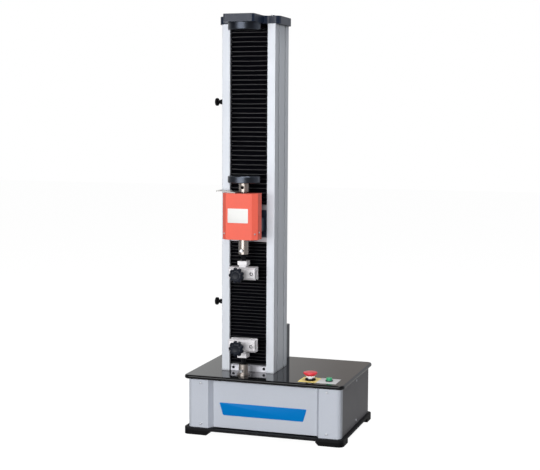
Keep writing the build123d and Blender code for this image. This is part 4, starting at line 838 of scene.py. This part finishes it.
@dataclass
class Grip:
    """One grip: the domed heads of its guide pins, painted shade round them and its stud's dark
    thread.

    The button, ring and shade ring are pairs of radius and height over the front of the grip. A
    groove between button and ring holds the shade ring, a dark ring of painted shade.
    """

    side: str
    body: str
    x: float = COLUMN_X
    load_y: float = LOAD_Y
    height: float = 36.0
    pin_spacing: float = 60.0
    pin_head: float = 1.5
    pin_radius: float = 6.6
    button: Profile = ((0.0, 2.1), (1.6, 1.9), (2.6, 1.2), (3.0, 0.12))
    ring: Profile = ((4.8, 0.12), (5.0, 1.9), (5.5, 2.2), (6.3, 1.8), (6.6, 0.7))
    shade_ring: Profile = ((2.9, 0.1), (2.95, 0.3), (4.85, 0.3), (4.9, 0.1))
    softness: float = 0.3
    stud_radius: float = 6.05
    thread: float = 0.55
    crest: Pair = (0.45, 0.55)
    pitch: float = 1.75
    steps: int = 40

    def build(self) -> None:
        """Make the pin heads, the painted shade round them and the thread."""
        low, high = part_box(f"{self.side}_grip_frame")
        if self.side == "upper":
            middle = low.z / MM + self.height / 2
            start, end = high.z / MM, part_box("load_adapters")[0].z / MM
        else:
            middle = high.z / MM - self.height / 2
            start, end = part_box("lower_connector")[1].z / MM, low.z / MM
        face = low.y / MM - self.pin_head
        places = [facing("-Y", (self.x + side * self.pin_spacing / 2, face, middle))
                  for side in (-1, 1)]
        dome = eased([*self.button, *self.ring, (self.pin_radius, -self.pin_head)],
                     self.softness, 2)
        # The dark rings laid in the grooves round the pin heads are painted shade
        for name, profile, slot, finish in (
            ("pin_heads", dome, "nickel", NICKEL),
            ("pin_shade_rings", self.shade_ring, "blackened_steel", BLACK_OXIDE_AND_SHADE),
        ):
            turned = joined([(lathe(profile, self.steps), place) for place in places])
            deliver(turned, f"{self.side}_{name}", self.body, finish)
        self.stud(start, end)

    def stud(self, start: float, end: float) -> None:
        """Cut the thread of the stud.

        Args:
            start: the height of its lower end in millimetres.
            end: the height of its upper end.
        """
        turns = int((end - start) / self.pitch)
        step = (end - start) / turns
        root, top = self.stud_radius, self.stud_radius + self.thread
        profile = [(root, 0.0)]
        for i in range(turns):
            profile += [(top, (i + share) * step) for share in self.crest]
            profile.append((root, (i + 1) * step))
        place = facing("+Z", (self.x, self.load_y, start))
        deliver(joined([(lathe(profile, self.steps), place)]), f"{self.side}_stud_thread",
                self.body, BLACK_OXIDE_AND_SHADE, smooth=20.0)


@dataclass
class StarKnob:
    """Moulded star knob with its hub and screw, pointing along -Y.

    The dish, the crown and the heel of its head are pairs: how far inside the core's or the
    rim's radius, and how far over the front face, or over the back for the heel.
    """

    side: str
    x: float = COLUMN_X
    radius: float = 23.0
    thickness: float = 14.0
    lobes: int = 9
    steps_per_lobe: int = 14
    valley: float = 4.4
    valley_sharpness: float = 2.4
    core: float = 11.5
    dish: Profile = ((3.0, -1.6), (2.0, -1.3), (1.0, -0.3), (0.0, 0.0))
    crown: Profile = ((7.0, -0.8), (3.2, -3.2), (1.2, -5.4), (0.3, -7.4))
    heel: Profile = ((0.0, 4.4), (0.0, 3.0), (0.7, 1.5), (2.0, 0.4), (4.0, 0.0))
    hub_radius: float = 11.0
    hub_length: float = 24.0
    hub_chamfer: float = 1.5
    hub_lap: float = 0.5
    hub_bore: float = 0.1
    hub_softness: float = 1.0
    screw_radius: float = 6.0
    screw_chamfer: float = 1.0

    def build(self) -> None:
        """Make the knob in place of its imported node.

        Its lobes run up a cone from the sunk face, as the photograph shows from the side.
        """
        low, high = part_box(f"{self.side}_knob")
        back, end = -self.thickness, -self.thickness - self.hub_length
        reach = (high.y - low.y) / MM
        r, c, lap = self.hub_radius, self.hub_chamfer, back + self.hub_lap
        hub = lathe(eased([(self.hub_bore, end), (r - c, end), (r, end + c), (r, lap),
                           (self.hub_bore, lap)], self.hub_softness, 2), 48)
        r, c = self.screw_radius, self.screw_chamfer
        screw = lathe([(0.0, -reach), (r - c, -reach), (r, -reach + c), (r, end + c),
                       (0.0, end + c)], 32)
        place = facing("-Y", (self.x, low.y / MM, (low.z + high.z) / 2 / MM))
        body = f"{self.side}_knob"
        deliver(joined([(self.head(), place), (hub, place)]), f"{self.side}_star_knob", body,
                KNOB_NYLON, (f"{self.side}_knob",), smooth=40.0)
        deliver(joined([(screw, place)]), f"{self.side}_knob_screw", body,
                GROUND_STEEL)

    def head(self) -> bmesh.types.BMesh:
        """Shape the lobed head with rounded rims and a sunk face.

        Returns:
            The head's mesh, with its front at height 0.
        """
        r, t, c = self.radius, self.thickness, self.core
        sunk = [(0.0, self.dish[0][1])] + [(c - inside, z) for inside, z in self.dish]
        rim = [(r - inside, z) for inside, z in self.crown]
        rim += [(r - inside, z - t) for inside, z in self.heel]
        mesh = lathe(sunk + rim + [(c, -t), (0.0, -t)], self.lobes * self.steps_per_lobe)
        for vert in mesh.verts:
            reach = vert.co.xy.length / MM
            if reach <= c + NEAR / MM:
                continue
            angle = math.atan2(vert.co.y, vert.co.x)
            notch = (0.5 + 0.5 * math.cos(self.lobes * angle)) ** self.valley_sharpness
            cut = self.valley * notch * (reach - c) / (r - c)
            vert.co.xy = vert.co.xy.normalized() * (reach - cut) * MM
        return mesh


@dataclass
class ThumbScrew:
    """Moulded thumb screw of a travel stop, pointing along -X.

    The face is in pairs: how far inside the head's radius, and how far over its front. The
    slope is how far the collar's step starts before the neck's end and stops behind it.
    """

    stop: str
    head_radius: float = 11.4
    setback: float = 2.5
    head: float = 8.0
    face: Profile = ((4.5, -0.6), (3.5, 0.0), (1.2, 0.0), (0.0, -1.4))
    back_chamfer: float = 1.6
    neck_radius: float = 5.2
    neck: float = 6.0
    neck_start: float = 0.6
    collar_radius: float = 7.2
    collar: float = 6.5
    slope: Pair = (0.8, 1.0)
    shank_radius: float = 2.5
    tip: float = 0.5
    softness: float = 0.8
    flutes: int = 18
    steps_per_flute: int = 6
    flute: float = 0.9
    flute_sharpness: float = 1.5
    fluted: float = 1.5

    def build(self) -> None:
        """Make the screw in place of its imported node."""
        low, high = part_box(f"{self.stop}_thumb_screw")
        reach = (high.x - low.x) / MM
        r, c, n, shank = self.head_radius, self.collar_radius, self.neck_radius, self.shank_radius
        front, h = -self.setback, self.setback + self.head
        rim = [(0.0, front + self.face[0][1])]
        rim += [(r - inside, front + z) for inside, z in self.face]
        rim += [(r, self.back_chamfer - h), (r - self.back_chamfer, -h)]
        neck_end = -h - self.neck
        collar_end = neck_end - self.collar
        foot = [(n, -h - self.neck_start), (n, neck_end + self.slope[0]),
                (c, neck_end - self.slope[1]), (c, collar_end), (shank, collar_end),
                (shank, self.tip - reach), (0.0, -reach)]
        mesh = lathe(eased(rim + foot, self.softness, 2), self.flutes * self.steps_per_flute)
        for vert in mesh.verts:
            radius = vert.co.xy.length / MM
            if radius > r - self.fluted:
                angle = math.atan2(vert.co.y, vert.co.x)
                notch = (0.5 + 0.5 * math.cos(self.flutes * angle)) ** self.flute_sharpness
                vert.co.xy = vert.co.xy.normalized() * (radius - self.flute * notch) * MM
        middle = ((low.y + high.y) / 2 / MM, (low.z + high.z) / 2 / MM)
        place = facing("-X", (low.x / MM, *middle))
        deliver(joined([(mesh, place)]), f"{self.stop}_screw_grip", f"{self.stop}_thumb_screw",
                MOULDED_BLACK, (f"{self.stop}_thumb_screw",), smooth=45.0)


@dataclass
class Controls:
    """Mushroom head of the emergency stop and the bare legend plates on the table plate.

    The underside of the mushroom is in pairs: how far inside its radius, and how far below the
    height of its rim.
    """

    table: float = 175.0
    legend: Area = (101.0, 212.0, -158.0, -95.0)
    legend_split: float = 154.0
    legend_corner: float = 1.0
    legend_thickness: float = 0.5
    legend_edge: float = 0.15
    rim_height: float = 8.2
    rim_land: float = 0.8
    under_radius: float = 14.0
    underside: Profile = ((3.0, 5.6), (0.8, 3.8), (0.0, 2.2))
    bore: float = 6.6
    fullness: float = 0.8
    dome_step: int = 6
    softness: float = 0.5

    def build(self) -> None:
        """Make the legend plates and the mushroom head."""
        left, right, front, back = self.legend
        for name, start, end, finish in (
            ("stop_legend", left, self.legend_split, LEGEND_YELLOW),
            ("start_legend", self.legend_split, right, LEGEND_SILVER),
        ):
            outline = rounded_rectangle(end - start, back - front, self.legend_corner)
            plate = slab(outline, self.legend_thickness, self.legend_edge)
            at = ((start + end) / 2, (front + back) / 2, self.table)
            bmesh.ops.transform(plate, matrix=facing("+Z", at), verts=plate.verts)
            deliver(plate, name, "frame", finish)
        self.mushroom()

    def mushroom(self) -> None:
        """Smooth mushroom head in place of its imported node."""
        low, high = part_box("estop_head")
        rise, radius = (high.z - low.z) / MM, (high.x - low.x) / 2 / MM
        crown = self.rim_height + self.rim_land
        under = [(self.bore, 0.0), (self.under_radius, 0.0)]
        under += [(radius - inside, self.rim_height - drop) for inside, drop in self.underside]
        dome = []
        for degrees in range(self.dome_step, 91, self.dome_step):
            angle = math.radians(degrees)
            dome.append((radius * math.cos(angle) ** self.fullness,
                         crown + (rise - crown) * math.sin(angle)))
        head = lathe(eased(under + [(radius, crown)], self.softness, 3)[:-1] + dome, 72)
        at = ((low.x + high.x) / 2 / MM, (low.y + high.y) / 2 / MM, low.z / MM)
        bmesh.ops.transform(head, matrix=facing("+Z", at), verts=head.verts)
        deliver(head, "stop_mushroom", "estop_head", STOP_RED, ("estop_head",),
                smooth=50.0)


@dataclass(frozen=True)
class Lamp:
    """One soft lamp: its place and its aim in millimetres, its size in metres and its watts."""

    name: str
    at: Point
    aim: Point
    width: float
    height: float
    power: float
    mirrored: bool = True


# A large lamp from the front left, one from above, and two that show in no reflection
LAMPS = (
    Lamp("key", (-500.0, -4500.0, 950.0), (-60.0, -60.0, 560.0), 4.0, 1.9, 135.0),
    Lamp("top", (300.0, -200.0, 3800.0), (-60.0, 0.0, 300.0), 1.6, 1.6, 72.0),
    Lamp("fill_side", (3900.0, -900.0, 1300.0), (0.0, -60.0, 600.0), 2.0, 2.0, 23.0, False),
    Lamp("fill_front", (600.0, -3700.0, 1000.0), (0.0, -60.0, 500.0), 1.6, 1.6, 44.0, False),
)


@dataclass
class Studio:
    """White room, floor, lamps and the camera of the photograph.

    The walls are what reflections see of the room. Each change from one to the next is the range
    of a direction's X, or its Y for the front, from -1 to 1.
    """

    camera_at: Point = (1045.4, -3342.1, 918.4)
    yaw: float = -0.3127
    pitch: float = 0.0979
    roll: float = 0.0052
    focal_pixels: float = 1189.84
    image_width: float = 540.0
    sensor: float = 36.0
    clip_end: float = 60.0
    left_wall: Shade = (0.79, 0.80, 0.80, 1.0)
    middle_wall: Shade = (0.48, 0.45, 0.43, 1.0)
    right_wall: Shade = (0.60, 0.62, 0.66, 1.0)
    front_wall: Shade = (0.12, 0.12, 0.13, 1.0)
    left_change: Pair = (-0.36, -0.24)
    right_change: Pair = (-0.12, 0.1)
    front_change: Pair = (-0.2, 0.3)
    dim_light: Shade = (0.20, 0.20, 0.20, 1.0)
    white: Shade = (1.0, 1.0, 1.0, 1.0)
    floor_reach: float = 12.0
    floor_seen: float = 0.965
    floor_mirrored: float = 0.4
    paper_grey: str = "#5A5A5A"

    def build(self) -> None:
        """Make everything that isn't part of the machine."""
        self.world()
        self.floor()
        self.lamps()
        self.camera()
        bpy.context.scene.view_settings.view_transform = "Standard"

    def camera(self) -> None:
        """Place the camera at the photograph's viewpoint."""
        y, p, r = self.yaw, self.pitch, self.roll
        ahead = Vector((math.sin(y) * math.cos(p), math.cos(y) * math.cos(p), -math.sin(p)))
        right = Vector((math.cos(y), -math.sin(y), 0.0))
        up = right.cross(ahead)
        side = right * math.cos(r) + up * math.sin(r)
        top = -right * math.sin(r) + up * math.cos(r)
        lens = bpy.data.cameras.new("camera")
        lens.sensor_fit = "HORIZONTAL"
        lens.sensor_width = self.sensor
        lens.lens = self.focal_pixels / self.image_width * self.sensor
        lens.clip_end = self.clip_end
        camera = bpy.data.objects.new("camera", lens)
        bpy.context.scene.collection.objects.link(camera)
        turn = Matrix((side, top, -ahead)).transposed().to_4x4()
        camera.matrix_world = Matrix.Translation(Vector(self.camera_at) * MM) @ turn
        bpy.context.scene.camera = camera

    def world(self) -> None:
        """White to the camera; as light and in reflections a dim room, brighter behind."""
        world = bpy.data.worlds.new("white_room")
        world.use_nodes = True
        tree = world.node_tree
        tree.nodes.clear()
        path = add_node(tree, "ShaderNodeLightPath").outputs
        way = add_node(tree, "ShaderNodeTexCoord").outputs["Generated"]
        parts = add_node(tree, "ShaderNodeSeparateXYZ", {"Vector": way}).outputs
        past_left, past_middle, past_front = (
            add_node(tree, "ShaderNodeMapRange", {
                "Value": parts[axis], "From Min": start, "From Max": end,
            }).outputs["Result"]
            for axis, (start, end) in (("X", self.left_change), ("X", self.right_change),
                                       ("Y", self.front_change))
        )
        behind = add_node(tree, "ShaderNodeMix", {
            SHARE: past_left, FIRST: self.left_wall, SECOND: self.middle_wall,
        }, data_type="RGBA").outputs[MIXED]
        around = add_node(tree, "ShaderNodeMix", {
            SHARE: past_middle, FIRST: behind, SECOND: self.right_wall,
        }, data_type="RGBA").outputs[MIXED]
        mirrored = add_node(tree, "ShaderNodeMix", {
            SHARE: past_front, FIRST: self.front_wall, SECOND: around,
        }, data_type="RGBA").outputs[MIXED]
        light = add_node(tree, "ShaderNodeMix", {
            SHARE: path["Is Glossy Ray"], FIRST: self.dim_light, SECOND: mirrored,
        }, data_type="RGBA").outputs[MIXED]
        seen = add_node(tree, "ShaderNodeMath", {
            0: path["Is Camera Ray"], 1: path["Is Transmission Ray"],
        }, operation="MAXIMUM").outputs[0]
        total = add_node(tree, "ShaderNodeMix", {
            SHARE: seen, FIRST: light, SECOND: self.white,
        }, data_type="RGBA").outputs[MIXED]
        back = add_node(tree, "ShaderNodeBackground", {"Color": total, "Strength": 1.0})
        add_node(tree, "ShaderNodeOutputWorld", {"Surface": back.outputs["Background"]})
        bpy.context.scene.world = world

    def floor(self) -> None:
        """Pale floor that meets the white room and keeps the machine's shadow."""
        mesh = bmesh.new()
        bmesh.ops.create_grid(mesh, x_segments=2, y_segments=2, size=self.floor_reach)
        data = bpy.data.meshes.new("floor")
        mesh.to_mesh(data)
        mesh.free()
        floor = bpy.data.objects.new("floor", data)
        bpy.context.scene.collection.objects.link(floor)
        material = bpy.data.materials.new("white_paper")
        material.use_nodes = True
        tree = material.node_tree
        tree.nodes.clear()
        path = add_node(tree, "ShaderNodeLightPath").outputs
        mirrored, seen = (
            add_node(tree, "ShaderNodeMath", {0: path[ray], 1: level},
                     operation="MULTIPLY").outputs[0]
            for ray, level in (("Is Glossy Ray", self.floor_mirrored),
                               ("Is Camera Ray", self.floor_seen))
        )
        strength = add_node(tree, "ShaderNodeMath", {0: mirrored, 1: seen}, operation="MAXIMUM")
        glow = add_node(tree, "ShaderNodeEmission", {
            "Color": self.white, "Strength": strength.outputs[0]})
        paper = add_node(tree, "ShaderNodeBsdfDiffuse", {"Color": linear(self.paper_grey)})
        both = add_node(tree, "ShaderNodeAddShader", {0: glow.outputs[0], 1: paper.outputs[0]})
        add_node(tree, "ShaderNodeOutputMaterial", {"Surface": both.outputs[0]})
        data.materials.append(material)

    def lamps(self) -> None:
        """Hang the lamps and point each at its aim."""
        for lamp in LAMPS:
            light = bpy.data.lights.new(lamp.name, "AREA")
            light.shape = "RECTANGLE"
            light.size = lamp.width
            light.size_y = lamp.height
            light.energy = lamp.power
            hung = bpy.data.objects.new(lamp.name, light)
            bpy.context.scene.collection.objects.link(hung)
            hung.location = Vector(lamp.at) * MM
            hung.visible_glossy = lamp.mirrored
            way = (Vector(lamp.aim) - Vector(lamp.at)).normalized()
            hung.rotation_euler = way.to_track_quat("-Z", "Y").to_euler()


def main() -> None:
    """Build the machine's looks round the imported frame."""
    logging.basicConfig(level=logging.INFO, format="%(message)s")
    Studio().build()
    for name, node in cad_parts.items():
        SHOP.dress(node, NODE_FINISH[name])
    cabinet, column = Cabinet(), Column()
    cabinet.build()
    column.build()
    deliver(joined(cabinet.screws() + column.screws()), "screw_heads", "frame",
            ZINC, ("frame_screws",))
    Bellows("bellows_upper", plain_top=16.0, fixed_at_top=True, fixed_to="top_cap").build()
    Bellows("bellows_lower", plain_top=0.0, fixed_at_top=False, fixed_to="bellows_bracket",
            seed=8).build()
    Crosshead().build()
    for side, body in (("upper", "crosshead"), ("lower", "frame")):
        Grip(side, body).build()
        StarKnob(side).build()
        ThumbScrew(side).build()
    Controls().build()


if __name__ == "__main__":
    main()
